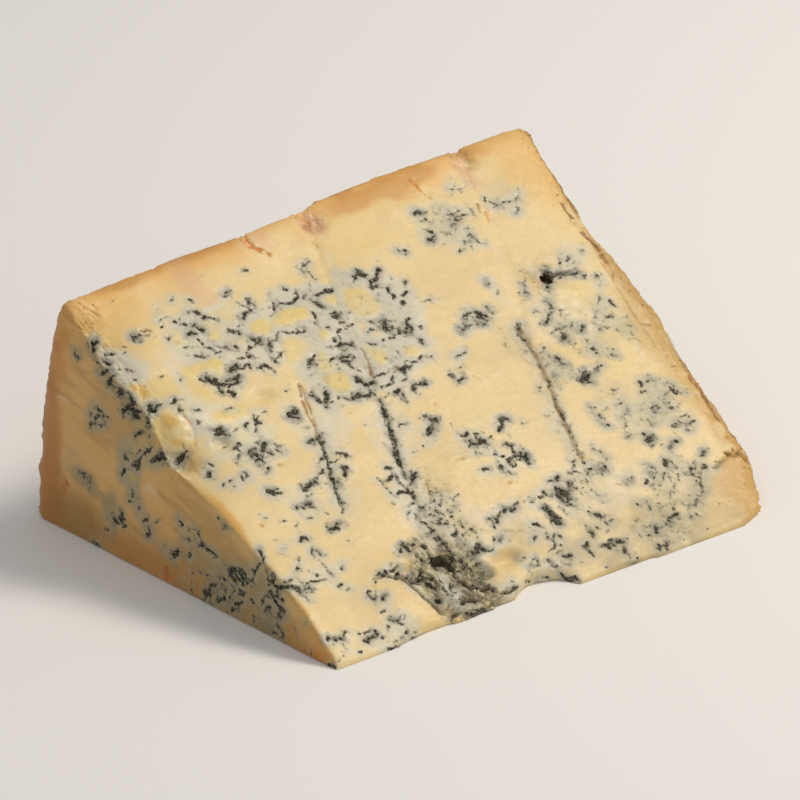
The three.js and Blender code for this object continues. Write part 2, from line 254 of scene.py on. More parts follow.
UPPER_STROKES = read_strokes("""
# under the rind, from the left
.45 .95  -1.9 92.6  -1.2 93.1  -.2 94  .4 94.8
.3 .8  -2.6 90  -2.2 88.8
.45 .95  -.9 89.2  -.3 88.5
.7 1  -3.2 86.3  -2.4 86.7  -1.7 87
.7 1  -3.4 83.4  -3 84.2  -2.6 84.8
.2 .7  -1.7 84.6  -.5 85.2
.25 .8  .8 90.9  1.6 90.4  2.6 90.2
.2 .45  5.4 91.1  6.4 90.8
.2 .5  4.4 89.2  5.4 89.6
.2 .8  3 85.4  3.3 84.8  4.1 84.3
.2 .6  2.8 82.4  3.2 82.4
.15 .6  1.3 86  1.6 86
.5 .95  9.5 92.4  10.2 92.8  10.3 92.1
.3 .75  11.2 92.7  12 92.4  12.9 92
.15 .3  13.5 91.1  15 91
.3 .35  10 102.6  11 102.8
.25 .75  17.8 94.6  18.6 95  20 95
.2 .5  17 92.8  18.2 93.5
.2 .9  16.9 89.6  17.5 90.4
.4 .45  19.5 97.6  20.4 98.3
.2 .7  18.8 86.5  20 86.3
.3 .5  20.4 85.9  21.4 85.4  22 85.3
.35 .9  21 93.2  21.6 92.2  22.8 91.7
.25 .7  22.5 93.4  21.8 92.4
.5 .95  22 89.1  22.9 89.8  23.5 88.9
.3 .8  20.1 83.4  21 82.8  21.8 82.4
.2 .4  17.4 87.3  18.2 87.2
.2 .35  17.9 84  18.5 83.8
.2 .8  23.8 98.4  24.4 98.8
.25 .9  27.9 97.6  28.1 96.5
.3 .35  34 102  35.2 102.2
.4 .95  36.1 95.8  36.6 96.3  37.4 96.4
.2 .7  36.3 97.1  36.8 96.5
.4 .45  42.9 99.8  43.8 100.2  45.4 100
.4 .75  25.3 94.3  26.2 94.8  26.8 94.1  27.6 93.8
.2 .5  26.9 93.3  27.6 93.1
.35 .9  27.6 91.9  28.4 92.1
.25 .8  28.4 92  29.4 91.4  30.2 90.8  30.5 89.9
.55 .9  24.2 90.7  24.9 91  25 90.1  25.5 89.3  25.3 88.8
.25 .8  23.2 87.2  23.5 86.2  23.3 85.4
.35 .8  23.5 84.8  24.2 84.4  24.5 83.6
.3 .8  26.1 84.2  26.8 83.3  27.8 83.2
.35 .95  31.4 87.4  31.9 86.5  32.4 86
.4 .9  32.6 86.4  33.4 85.6  33.2 85.2
.3 .6  35.3 88.2  35.5 87.2
.2 .5  33.9 87  35 87.4
.25 .8  37.4 93.2  38 92.6  38.4 91.8  38.9 91
.35 .95  41.2 93  40.6 92.4  39.9 91.8  39.2 91
.2 .6  40.1 93.4  40.2 92.4
.35 1  36.5 88.8  37.2 89.3  38 89.7  38.8 90.1
.25 .95  38.8 90.1  39.8 90.2  41 90.4
.2 .6  39.2 88.9  40.2 89.2
.3 .75  45.7 92  46.2 93  46.6 93.3
.35 .8  44.6 88  45.2 88.9  45.8 90  45.9 91.2
.3 .95  45.6 89.3  46.8 89.6  48 89.5  49.2 89.2  50 89  51.2 89.6  52.4 89.9
.35 1  50.2 92.7  50.9 92.4
.2 .6  42.9 87.2  43.8 87.6
.25 .5  52.5 90.9  53.1 91.5
.25 .9  53.1 89.3  53.9 89.7  54.6 90
.15 .5  55.3 90.2  56 91  56.8 91.9
.25 .9  57.5 95.2  57.7 96.2  58.3 96.9  59.2 97.1  60.2 97.5
.2 .5  60 98.5  60.3 97.6  60.8 97.3
.2 .7  58.2 95.5  58.7 94.3  59.1 92.9
.35 1  56.5 88.6  57.2 89  58.4 89  59.3 89.2  59.9 88.5  60.6 88.6
.35 .9  54.3 88.4  54.7 87.4
.4 1  55.3 86.8  55.8 86.2  56 85.4
.3 .6  52.8 85  52.4 83.6  52 82
.5 1  68.2 90.5  69.2 90.8  69.9 90.3
.2 .7  69.8 92.4  69.8 91.2
.25 .9  67.4 89.3  68.4 89.8
.3 .95  70 90  71 89.8  71.5 89.9
.25 .7  70.6 89.5  70.7 88.2
.4 .95  71 88  72.2 88.1  73 88.6  73.6 89.4  74.4 90  74.9 90
.4 1  70.6 86.7  71.3 86.5
.2 .5  72.8 86.7  73.4 86.5
.25 .6  75.8 92.2  76.4 92.7
.5 .35  76 87.8  76.2 86.8
.3 .9  70.4 84.6  71 84.9
.3 .9  78.6 84.9  78.9 85.4
.3 .35  64.2 89.2  64.6 88.5
# under the rind, right half
.45 .9  82.6 93.3  83.3 93  84.2 92.9
.3 .8  83.9 92.4  83.5 92
.2 .4  84.6 93.2  86 93.6
.45 1  92.9 101.3  93.7 101.5  94 100.8  94.6 100.7
.2 .5  95 100.6  96.3 100.5
.35 1  92.9 99  94 98.7
.25 .8  92 96.5  93 96.4
.35 .9  93.1 95.6  93.6 95.3
.7 1  91.1 93.4  92 93.4  92.8 94
.4 .95  91.8 93  92.4 92.7
.25 .5  93.5 91  94.3 91.3
.15 .8  93.7 93.3  94 93.2
.2 .9  95.8 88.6  96.4 88.4  97.4 88.6  98 88.8
.4 .85  100.6 98.4  101.2 97.8
.4 .95  99.2 95.6  100 96.2  100.4 95.4
.35 .9  102.4 97.3  103.4 97  104.6 97.2
.25 .5  99.3 98.5  100.2 98.6
.3 .9  101.5 93.6  102.2 93.7  102.7 93.1
.4 .95  101.8 91.7  102.3 91.2  102.6 90.9
.3 .8  102.2 91  102.6 90
.35 .9  99 90  99.8 90.4  100.4 90.1
.15 .8  100.1 88.8  99.9 87.6
.4 .95  102.6 88.8  103.2 88.5  103.9 88.2
.3 .5  103.8 102.4  104.9 103
.35 .85  105.4 104.6  106.3 104.3  106.8 105
.2 .7  105.8 97.4  106.7 98.4
.2 .5  105.4 95.1  106.8 96.2
.25 .8  107.2 103.8  108.4 103.9  109.4 104.2  110 104.5
.2 .6  107 107  107.5 107.5
.3 .7  106.3 97.2  106.8 98
.2 .5  106.4 96.2  107.2 96.5
.3 .7  111 98.4  111.8 99.2
.25 .9  112 98.6  112.6 97.9  113.4 97.3
.25 .8  112 96.5  112.7 96.7
.35 .95  113.4 97  114.4 96.9
.3 .85  115.2 97.2  116 97.2  116.6 96.8  117.4 97
.35 .85  118.4 96.8  119.2 97  119.8 97.6
.5 .4  119.8 98  121.4 99.2
.3 .95  115.5 93.4  116.4 93.6  117.2 94.2
.4 .5  116.8 94.6  117.8 94.8
.3 .4  113.8 96.2  114.4 95.6
# the broken left edge
.6 1  -3.4 83.4  -2.7 82.4
.45 1  -2.4 82.4  -2 81.6  -2.2 80.6  -2.6 79.8
.2 .5  -3 79.2  -3.4 78.2
.6 1  -4.5 75.6  -3.6 76.2  -2.6 75.8  -2 76.6
.4 1  -2 76.6  -1.4 77.2  -.9 78  -.7 78.8
.5 1  -3.8 75  -2.8 74.8
.4 .95  -3.2 75  -3.3 73.6  -3.2 73
.45 1  -1.5 71.4  -.9 72.4  -.4 73
.3 .95  -.4 73  .3 73.4  .8 74
.35 .9  1 74.2  1.8 74.6  2 75.2  2.6 74.2  3.6 74.4
.25 .9  -2.8 70  -2.2 70.4  -1.6 70.6
.3 .9  -5.4 70.4  -5 69.8
.3 .9  -6 69.4  -5.6 69
.35 .9  -3.3 68  -2.9 68.6
.35 .95  -5.4 64  -5 65
.2 .5  -4.6 65.6  -3.8 66.2
.7 1  -5.8 61.8  -4.4 61.8  -3.8 62.8
.5 .9  -5.2 61  -4.6 60.6
# left part, from the middle curds down
.2 .6  3.6 74.4  4.6 74.5  5.4 74.8
.4 1  7 74  7.8 74  8.4 74.3
.5 .8  7.2 71.4  7.9 72  8.6 72.6
.35 .6  6.5 70.8  6.9 71.2
.3 .7  8.4 71.4  8.9 73
.35 .95  10.9 70.8  11.6 70.5  12.2 70.4
.3 .7  9.4 67.3  10 67.6
.25 .75  12.5 78.6  13 79.4
.2 .5  12.8 80.2  13.1 80.8
.25 .35  8.8 80.6  9.4 81.4
.25 .8  16.8 77.4  17.6 76.9  18.1 76.6
.3 .3  16.6 78.2  17.2 77.8
.7 1  19 77.2  19.4 76.2  19.8 75.4  20.6 74.8  21.6 74.6
.45 .95  20.4 76.9  20.8 76.2
.4 .9  19.8 75  19.9 73.6  20.1 72.8
.4 .95  21.4 72.6  21.8 71.8  21.6 71.2
.2 .7  20.6 71.4  21.4 71.8
.25 .9  18.2 68.4  18.8 68.7  19.4 68.4
.15 .6  17.2 68.2  18.2 68.4
.9 1  11.9 63.2  12.6 63.6  13.4 63.3
.5 .95  11.6 64.6  12.6 64.3  13.6 64.4
.3 .8  10.8 65.1  11.6 64.8
.3 .8  13.6 63.3  14.4 63.6
.25 .7  15.6 62.7  16.4 63  17.4 63.2
.35 .9  19.4 63.2  20.1 63.6
.2 .9  20.4 61  21 61.2  21.4 62  22 62.8  22.8 63.4
.3 .8  22.2 63.6  22.6 64.8
.25 .8  2.4 62.4  2.9 63.4
.3 .8  1 61  1.8 61.7  2.6 61.6
.45 1  -1.4 60  -.6 60.4  .3 60.8  1 61.2
.3 .85  5.2 57.4  5.5 56.4
.35 .9  12.9 58.4  13.6 58.6  14.2 58.9
.3 .8  13.7 58.4  13.9 57.7
.3 .8  15 59.6  15.3 59
.35 .9  12.4 55.8  13 56.4  13.3 56.8
.2 .6  13.8 56  14.8 56
.5 1  15.8 56.8  16.4 57  16.8 56.2  17 55
.4 1  17.6 54.4  18 55.2
.5 1  19 56.3  19.6 56.8  20 57.4  20.6 57.6
.4 .9  20.2 54.5  20.8 54.9
.2 .7  22.2 56.8  22.8 56.8
.4 .35  10.8 59.5  11.6 59.6
.45 .95  3.6 54.2  4 55
.3 .25  7.6 63  8.1 63
# the lace of cracks
.25 .8  22.6 82.7  23 82.4
.25 .8  24.6 82.8  25.3 82.4  26 82.6
.3 .9  28 82.8  28.8 82.2  29.6 81.8  30.2 81.4
.2 .5  25 81.5  26.4 81.4
.3 .9  29.8 82.8  30.3 82
.25 .95  32.4 81.1  33.2 81.4  34.4 81.4  35 81.9
.4 .95  34.8 83.9  35.2 82.8  35.8 82  36.6 82.2  37 82.6
.25 .9  35.6 81.6  36.4 81.2
.35 1  37.7 80.6  37.3 79.6  37.3 78.8
.35 .95  38 80.9  39 81.1  40 81
.25 .95  40 81  40.6 81.6  41 82.3  42 82.7  43.4 82.4
.3 .9  43.4 82.4  44 81.9  45 81.7
.25 .9  45.6 81  46.4 81.3  47.2 80.9  47.9 81  48.2 81.6  48.6 82.2
.2 .4  49.4 81.2  50 81.8
.35 .95  31 79.2  31.8 79.4  31.6 80.2
.3 .85  28.4 79.5  29.4 79.2  30.2 79.2
.25 .95  30 77.8  30.1 77  30.1 76.4
.25 .7  32.6 78.6  33.4 78.2
.5 .95  25.4 77.4  26.2 77.6  27.2 78
.25 .7  27.4 77.2  28.4 77  29.2 77.4  30 77.8
.25 .4  25.4 79.2  26 79.5
.4 .95  32.2 75.7  32.8 76.3  33.4 75.9
.25 .8  33.4 75.9  34 74.9  34.6 74  34.2 73.6
.2 .6  31.8 74.6  32.6 75
.3 .9  36.2 77.7  36.4 76.7  36.4 76
.25 .85  36.4 76.8  37.6 76.8  38.4 77  38.8 77.6  38.4 78
.4 .9  22 73.6  22.8 74.2
.6 1  22.6 75.2  24.2 75.2  25.4 75
.5 .95  23.2 73.8  24.4 73.8  25 74.4
.3 .9  25.4 75  26.2 75.6  26.8 75.5
.35 .9  22.2 71.8  22 72.6
.4 1  42.9 72.9  43.6 72.8  44 73.4
.25 .5  43.6 72  44 71.5
.3 .9  45 74.1  45.8 74.8
.3 .8  48.2 71.9  49 72.4  50 72.2  51 72.8
.25 .6  41.4 69.9  42.2 70.2
.2 .8  50.4 75.4  51.2 75.2
.4 .35  34 68.2  34.8 68.4
.2 .35  35.6 69.4  36 69.4
.3 .3  28.9 60.4  30.4 60
.8 1  30.6 62.2  31.4 62.3  32.2 62.6
.5 .95  31 61.6  32 61.2
.25 .8  30 62  30.6 61.8
.2 .7  32.4 57.6  32.9 57.8
.3 .8  23 65.3  23.5 64.6
.35 .9  22 62.9  23.2 63
.15 .9  22.6 63.8  23.6 64.3  24.6 64.8  26 65
.4 .95  38.2 65.4  38.8 64.9
.3 .8  39.4 66.4  38.9 65.6
.5 .9  39.2 64.2  39.5 63
.45 1  40.1 62.4  40.3 61.2
.5 .95  40.8 62.6  41.3 63.2  41.8 64.2  42 64.6
.3 .8  41.6 62.2  42 61.9
.35 .7  44 62.4  44.6 62.8
.35 .9  45.6 62  46.2 61.5
.2 .8  45.4 61  47 61
.3 1  47 61.2  48 61.4
.5 1  48.2 61.3  49 61.5  49.3 61.8
.35 1  49.6 60.9  50.6 61  51.8 60.9
.3 .3  43.6 58.2  44.2 58.3
.4 .9  22.4 54.7  23 54.3
.5 .9  30.2 54.4  31.2 54.8  32 54.6
.3 .35  47.8 60  48.6 60
.35 .7  52 82  52.6 82.6
.5 .9  56.6 82.4  57.4 82  58 82.4
.3 .9  56.5 83.3  57.4 83.2  58.2 83.6
.4 .6  53.4 80.4  54.2 80  54.2 79.2
.25 .9  56.8 80.2  58.2 80.1
.35 .95  55.3 78.4  55.8 79  56.6 79
.2 .8  56.6 78.6  57.6 78.4
.25 .85  58.2 78.8  59.2 79  59.8 79.3
.2 .6  58.9 78.6  58.8 77  59 76
.15 .6  59.6 81.4  59.6 80.4
.35 .85  52.8 76.4  53.2 77.2
.25 .7  54.4 76.4  54.7 77.2
.3 .9  51 75.2  52 75  52.6 74.8
.5 1  53.2 75.2  54 75.5  54.6 75.2
.45 .95  55.2 74.8  55.6 74.1  56 73.8
.25 .7  52.2 74  53.6 73.4  54.6 73.8
.45 .95  51.3 71.8  52.2 72  53 71.6  53.9 71.8
.4 .95  51.4 70.9  52.4 70.4  53.4 70.4  54 71
.3 .8  54.2 72  54.4 71
.5 .55  52 69.4  52.4 68.4
.3 .6  53 67.6  53.6 67.2
.35 .8  50.2 72.6  50.6 72.2
.3 .8  59.6 74  60 73
.35 .9  60.4 72.8  61.2 72.3
.4 .7  63.6 72.5  64.2 73.2
.2 .7  65.4 72.8  66.6 72.6
.3 .9  61.6 75.9  62.3 76.2  63.2 76.4
.3 .85  64 78.4  64.6 77.6
.2 .6  64.8 77.4  65.3 77.3
.4 1  66 77.6  67 77.8  67.8 77.7
.6 1  67.3 77.4  67 76.4  66.2 75.6
.5 .95  66.6 75  66.8 74.4
.2 .8  68.2 77.2  68.7 77
.7 1  70.4 73.2  71 73.7  71.7 74.2
.4 .9  70.2 72.8  71.6 72.9  72.2 73.4
.3 .95  68.7 73.2  69.4 73.6
.3 .85  71.6 74.2  71.8 75  72.4 75.6  73.4 76
.4 .6  74.4 73.4  74.5 72.6
.45 1  71.9 69.2  72.3 69.8
.3 .9  74.4 80.6  75 80.8
.4 .6  74.2 80  75 80.2
.35 .85  73.8 84.8  73.3 83.8  73.6 82.8  72.9 81.6
.4 .8  76.2 82  77 82.4  77.6 82.6
.2 .5  74 77.8  74.5 78
# the lower seam of the lace
.2 .9  55 64.8  56 64.8  57.6 64.9  58.6 64.8  59.6 65  60.4 65.5  61.4 65.2  62 65.6
.3 .8  61.7 66  62.4 65.6
.4 1  62.6 64.6  63.6 64.6
.25 .9  63.6 64.6  64.6 65.2  65.6 65
.25 .95  65.4 66.3  66.4 65.6  67.4 65.2  68.4 65.6  69.4 65.9  70.2 65.9  70.8 65.5  71.6 65.2
.15 .8  64.6 64.2  66 64.8  67.4 65.1  68.8 65.1
.25 .7  64.9 69.4  64.8 68  64.7 66.8  64.6 65.4
.5 .95  51.2 65  51.8 65.6  52.2 65
.5 1  52.2 64.4  52.6 63.6  53.6 63.5  54.4 63.6
.35 .7  52.6 63.2  52.4 62
.25 .95  55.2 61.9  56.4 61.7  57.6 61.8  58.4 61.9  58.8 62.6  59.4 63.2
.15 .6  59.4 63.2  60.4 64  61.2 64.4  62 64.7
.35 .85  63.3 64.4  63 63.2
.25 .8  63 63.2  62.6 62.2  62 61.6  61.4 61.8
.2 .7  60.2 61.8  61 61.6
.6 1  57.6 59.7  58.4 59.8
.3 1  58.4 59.8  58.8 60.3
.3 1  57.8 59.2  57.9 58.2  58 57.4
.3 .8  59.4 59.4  59 58.4  58.6 57.4  58.2 56.7
.25 .6  54.4 58.8  55.4 59.2  56.2 59.8
.4 .9  62.6 59.2  63 60  63.8 59.8  64.6 59.6
.5 1  65 59.4  65.6 59.4
.35 .7  62.2 59.6  61.9 58.4  62.1 57.4
.2 .6  62.6 57  63.6 57.4
.4 .9  52.6 58  52.4 57  52 56  51.8 55
.3 .9  50.6 54.7  51.2 54.4
.25 .3  72.8 62.6  73.5 62.7
.25 .7  75.6 60.4  76.4 60.6
.3 .95  77.2 63.1  78.2 63.2  79.4 63.6  80.4 64
.4 .7  73.2 59.2  73.6 58
.45 1  73.8 57.2  74.8 57.6
# middle right, and round the open hole
.25 .8  79.4 78.9  80.4 79  81.2 78.7  82.1 78.7
.15 .4  81 78.1  81.6 77.9
.6 .25  82.6 78.5  85.4 78.5
.45 .95  97.2 79.4  97.5 78.8  97.3 78.2
.4 .5  96.6 78.6  96.8 78
.25 .7  97.4 75.2  98 75.8  98.4 76.4
.6 1  83 69  84 69.4  85 69.8
.3 .95  84.6 70.2  84.9 70.8
.25 .9  85 69.8  86 69.8  87 69.9
.45 .95  85.5 72  86.2 72.4  87 72.9
.3 .9  87 72.9  88 72.8  88.8 73.1
.3 .8  85.9 71.6  86.6 72
.5 1  89.2 72.3  89.8 71.6  90.6 70.8
.6 1  88.8 71  89.8 70.8  91 70.8
.5 .95  87.6 69.4  88.4 69.6  89.2 69
.35 .9  87.7 71.6  88 70.6  88.2 69.8
.4 .95  92.9 72.8  92.7 71.8  92.8 70.6
.35 .85  91 71.2  91.6 72
.25 .6  93.8 71.4  94.2 70.4
.2 .5  94.2 72.3  94.7 72
.45 .9  96.2 65.2  96.9 65.8  97.3 66.3
.4 .85  95 63.8  95.8 64.4  96.6 64
.2 .8  94.8 62.2  94.6 61
.3 .7  94.6 60.6  95.6 60.4
.2 .8  94 59.8  93.7 58.4
.35 .8  97.4 57.8  98.2 58.3  99.1 58.4
.45 1  104 73.2  104.4 73.8  104.8 74.5
.2 .6  102.4 71.6  103.4 71.3
.2 1  103.3 68.2  103.6 68
.3 .4  104 67.4  104.6 67
.5 .9  103.4 64.2  104.2 64.6  104.8 65
.4 .8  105.4 65.8  106.2 66.3  107 66.6
.3 .9  103.2 61.4  104.2 61.8  105.4 62
.3 1  105.4 62  106.4 61.8  107.6 62
.5 1  104.8 59.1  105.4 59.6  105.8 60.4
.3 .8  105.8 60.4  106.4 61  107 61.2
.4 .9  98.4 54.4  99.2 54.8  100.2 54.4
.3 .8  96 54.2  97 54.3
.9 1  112.8 76.6  111.8 75.4  111.2 74.2  110.4 73.2
.25 .8  112.6 76  113.4 76  114.2 75.4  115.4 75
.45 1  115.4 75  116.4 74.8  117.2 74.5
.3 1  117.2 74.5  118.4 74.2
.7 1  118.4 74  119.2 73.8  119.8 73.8
.25 .6  113.8 74.2  115 73.9
.3 .6  110.2 78  110.8 77.2
.4 .85  112.4 77  113.2 77.6  113.3 78.2
.35 .85  116.6 76  117 76.9  117.4 77.6  118 78.6
.4 .95  119.2 77.4  120 78  120.6 78.6
.3 .7  118.4 76.8  119.2 77.6
.3 .8  120.4 76.6  121.2 77.2
.35 .8  119.6 75.2  119.8 74.4
.3 1  124.5 78.8  125 79.2
.35 .6  125.4 79.8  125.8 78.8
.35 .6  120.3 72.4  121 72.8
.25 .9  122.9 71.4  123.7 71.6
.12 .5  123.7 71.6  125 71.8
.25 .8  122.5 69.2  123.2 69.6  123.8 70
.25 .5  107.2 72.2  107.3 70.8
.25 .6  110.2 72.6  109.6 70.8  109 70
.4 1  107.6 69.2  108 68  107.9 67.2
.25 .6  107.8 66.6  108 66
.25 .8  109.4 66  110 66.4
.25 .8  109.6 64.9  109.8 64.3
.3 .8  108 61  108.8 61.6  109.2 62.2
.5 1  110.2 59.6  110.9 60.1  111.4 60.8
.2 .7  113 58.9  114 59.2
.3 .9  114.6 60.2  115.3 59.6
.15 .7  115.6 61.6  116.6 62.2  117.4 63
.25 .85  117.2 63  118 63.2
.4 .5  118.6 64.4  119.4 65.2  120.8 66.4
.3 1  122 64.6  122 63.8  122.2 63.2
.5 .5  121.2 63.7  121.6 63.1
.4 .9  109.2 54.4  110 54.6
.25 .6  109.8 56  110.2 55.8
# middle of the face, from the left edge
.35 1  -1.3 42.3  -1.4 41.2
.5 .4  -1.4 44  -1.3 42.6
.3 1  -4.8 27  -3.6 27.6  -2.6 28.2  -1.4 29
.2 .8  -1.4 29  -.4 29.6  .6 30.1  1.8 30.3
.4 .9  -5.6 31.4  -5 30.6
.25 .95  4.8 50.9  5.2 51.1
.25 .95  7 51.4  7.7 51.6
.25 .8  7.1 49.8  7.6 49.6
.3 1  10.1 50.9  10.5 51.5
.35 .9  11.4 51.2  11.9 51.4  11.8 52.2
.5 1  16.2 54.2  17 54.4  17.6 53.8
.3 .9  17.6 54.2  18.4 54.4  19.2 54.5
.35 .95  16.4 50.6  17 51  17.4 51.6
.6 1  13.7 46.2  14.3 45.6
.4 .9  13.5 46.6  14.3 45.1
.25 .6  14.6 44.8  15.6 44.9  16.6 44.9
.2 .6  15.6 46.2  16 45.8
.3 .95  21.4 43.7  22.4 44.1  23.4 44.6
.3 .5  8.6 40.3  9.1 40.1
.3 .3  7.6 41.4  8.6 41.2
.2 .7  12 38  13 38
.2 .8  13.8 36.2  14.8 36.6
.3 .9  16.6 39.6  17.3 40.2
.25 .8  18 39.9  18.8 39.6
.45 1  19.4 40.2  20.4 40  21.1 40.5
.35 .9  20 39.3  21 39.1
.25 .85  17.6 37.2  18.4 37.2  18.8 36.9
.45 .95  21.2 32.4  22 32.6  22.8 33  23.6 33.2
.25 .45  22.2 36.6  23 36.4
.35 .9  12.2 32.3  13 32.7  13.6 33  14.2 32.6
.3 .35  7 34.6  7.7 34.2
.3 .8  7 31.4  7.6 32
.2 .4  8.2 31.8  8.8 31.6
.35 .95  13 28.6  13.6 29.2  14 29.4
.35 .95  14.6 29  14.7 28
.25 .7  12.6 27.2  13 27.9
.25 .8  8.6 27.6  9.2 28.4  9.8 28.8
.3 .8  7.2 26.2  8 26.8  8.6 27.2
.25 .8  .8 26.2  1.6 26.8
# the left needle track and its branches
.5 .95  31.6 54.6  32.6 54.4  33.2 55
.4 .9  30.4 54.3  31 54.6
.25 .7  30.6 53  31.2 53.6  31.6 52.8
.4 .85  33.2 53.6  32.8 52.2  32.2 50.6  32 49.6
.35 .8  31.6 49.2  31 48  30.6 46.8  30.2 45.4
.55 1  29.8 44  29.3 43  28.8 42
.35 .95  28.8 42  28.3 40.8  27.9 39  27.5 37.6
.2 .7  27.5 37.6  26.8 36.4  26 35.4
.35 .95  22 43.9  22.8 44.1  23.4 44.6  24.2 44.8  25.2 44.9  26.4 45.1
.2 .9  22.2 43.6  23 43.2
.3 .85  26.6 45.6  27.6 46.4  28.4 46.6  29.2 47
.2 .6  28 45.8  29 46
.3 .7  29 48.8  29.8 49.2  30.6 49.4  31.6 50
.25 .7  31.6 48  32.6 47.8  33.8 47.8  34.6 48.2  35.2 48.8
.3 .95  34.8 50.1  35.4 49.6  36 49.2  36.4 48.4  36 48.1
.2 .4  36.6 48.2  37.8 47.4
.35 .95  33.4 47.2  34 46.2  34.4 45.6
.3 .95  33.6 45.4  33.2 44.4  32.9 43.8
.2 .6  35.4 54.6  36 54.3
# the middle needle track and its branches
.35 .8  50.7 54.6  50 53
.4 .95  51 53.4  50.5 52.2  49.9 51  49.4 49.8
.5 1  49.4 49.8  48.8 48.2  48 46.6  47.4 45.2  47 43.8
.2 .7  49.1 48.6  48.6 46.8  48.2 45
.5 .95  46.9 43.4  46.5 42
.25 .8  46.4 42  46 40.8  45.4 39.6  45.2 38.6
.55 1  46.6 37.8  47.3 38.1  48 38.6
.3 .85  48 38.6  48.8 39
.3 .9  45 36.6  45.8 37
.3 .95  42.9 42.6  43.6 42.2  44.2 41.8
.2 .7  44 41.6  43.4 40.8  42.6 40.2
.2 .8  38.8 40.7  39.6 40.5
.3 .95  39.6 40  40 39.4  41 39.6  42 39.7  42.8 40
.25 .9  39.8 39.6  39.7 38.6  39.6 37.6  39.8 36.6  39.9 35.6
.35 .95  43.8 40.2  43.6 39.2  43.4 38.6
.35 .9  43.2 38  43.6 37.2  44 36.4
.3 .85  44.2 36  43.9 35  44 34  43.8 33
.3 .95  41 35.6  41.8 35.8  42.8 35.4  43.6 35
.2 .5  40.6 34.8  41 34.3
.2 .9  38.7 34.8  38.6 33.6
.2 .8  41.6 32  42.4 32.4  43.2 32.4
.25 .85  40 30  40.6 30.7  41.4 31
.3 .9  44.1 30.9  44.4 30.4  45 30.6
.2 .7  45.2 28.8  46.2 29
.25 .8  47.4 27.6  48.4 27.2
.35 .6  41.6 28.8  42.4 28.2
.35 .9  42.1 27  42.4 26.4
.3 .4  49.2 32.4  49.7 31.8
.25 .6  22.4 29  23.2 28.7
.25 .3  45.6 54  46.2 53.2
# middle, right of the second track
.3 .95  52.6 51.4  53.4 51.6  54.2 51.4  54.9 51.4
.25 .6  53.2 52.2  53.7 52.6
.15 .8  59.8 51.5  60.5 51.6  61.2 51.4
.5 .95  60.6 50.8  61.2 50.2  62 50
.55 .95  58.2 47.3  59 48  60 48.6
.25 .7  60.2 48.8  61 49.4  61.4 49.8
.3 .3  58 47  57 46  56 45  55 44.4
.2 .7  51.6 44.1  52.4 44.3
.2 .7  54.3 44.6  55 44.9
.2 .4  55.8 45  56.4 45
.35 .9  64.9 44.2  65.6 44  66.4 44.4
.3 .8  67.9 42.8  68.6 43.4
.6 1  65.9 42  66.4 41.2  67.2 40.9  68.2 41.1  69 40.9
.3 .9  66.8 40.6  66.2 40
.25 .7  64.8 41.2  65.4 41.6
.3 .5  70.4 41.4  71.6 41.6
.4 .85  65.1 38.8  65.8 39  66.2 38.5
.2 .4  66.4 37.3  67.4 37.2
.35 .9  68.5 37.4  69.3 37.2  69.6 36.6
.3 .95  70 36.3  70.6 35.9  70.9 36
.2 .7  68.6 36.8  68.7 35.4
.3 1  68.7 34.4  68.5 33.4  68.2 32.6
.25 .9  69.2 32.2  69.4 31.2
.2 .4  67.6 33.8  67.5 32.8
.2 .7  62.8 34.8  63.5 34.8
.4 .95  63.8 34.4  64.6 34.6  65.2 34.2
.3 .7  65.4 34.4  65.8 33.6
.45 1  74.2 42.4  74.6 43  75.2 43.2
.35 .9  75.4 43.2  76.2 43.8  76.8 44.6
.5 1  76.8 45.2  77.6 45.2  78 44.8
.25 .5  77.4 43.8  78 43.6
.25 .4  75.2 40.6  75.6 40
.4 .95  73.8 38.4  74.4 38.2  74.8 38
.35 .8  74.1 37.8  74 36.6  73.6 36
.4 1  71.1 34.9  72 34.9  73 35  74 35.2
.8 1  75 34.8  75.6 34.2  76.2 34.6
.4 .95  75.2 33.8  75.2 33  75.5 32.2
.2 .7  75.6 35.6  76.4 36.4  77 36.7
.3 .85  71 34.4  71.1 33.6  71.2 32.8
.3 .8  72.2 33.8  72 32.6
.3 .85  73 34.4  73.8 34
.25 1  52.3 29.7  52.4 30.2
.2 .8  52.4 30.2  53.4 30.5  54.4 30.8
.4 .3  53 31.2  53.6 32.6
.3 .95  76.2 26.4  77 26.8  77.6 26.4
.3 .3  64.6 48  64.4 46.2
.3 .45  80.4 42  80.8 43.2
.2 .4  80.6 42  82 42.2
# by the right needle track
.25 .8  90 48.4  90.6 49.2  91.2 49.6
.3 .5  91.8 50.4  93 50.8
.25 .85  93.5 49  94 48.3
.3 .8  94.8 48.4  95.2 49.2  95.3 50
.25 .7  95.3 48.5  95.8 48.2
.25 .8  95.4 50.8  96.2 51.2
.35 1  96.2 51.2  96.9 51.4  97.4 51.4
.25 .8  97 52.5  98 53
.35 .85  95.6 53.8  96.6 54  97.4 54.2
.5 1  98.8 53.2  99.6 53  100.6 52.9
.4 .95  99.9 54.6  99.8 53.6
.2 .9  99.6 49  100.1 49.2
.25 .8  100.2 50.2  101 49.8  101.6 49.9
.9 1  101.8 47.6  102.6 48  103.4 48.4  103.8 48.8
.5 .95  102.6 47  103.2 46.6
.35 .9  102 48.6  102.8 49
.25 .95  105 49.4  105.8 49  106.6 49.4
.2 .8  89.6 39.6  89.8 38.8
.25 .7  90.2 37.8  91.6 38.2
.2 .7  87.5 41.7  88.4 41.9  89.6 42.4
.3 .4  87.3 34.6  87.5 33.8
.25 .8  87.6 32.8  88.3 33.2
.3 .9  85.2 29.4  86.2 29.8
.4 .5  83 27.2  84.4 28  85.4 28.6
.35 .8  82.2 26.8  83 27.4
.4 .9  78 26.2  78.8 26.6  79.6 27
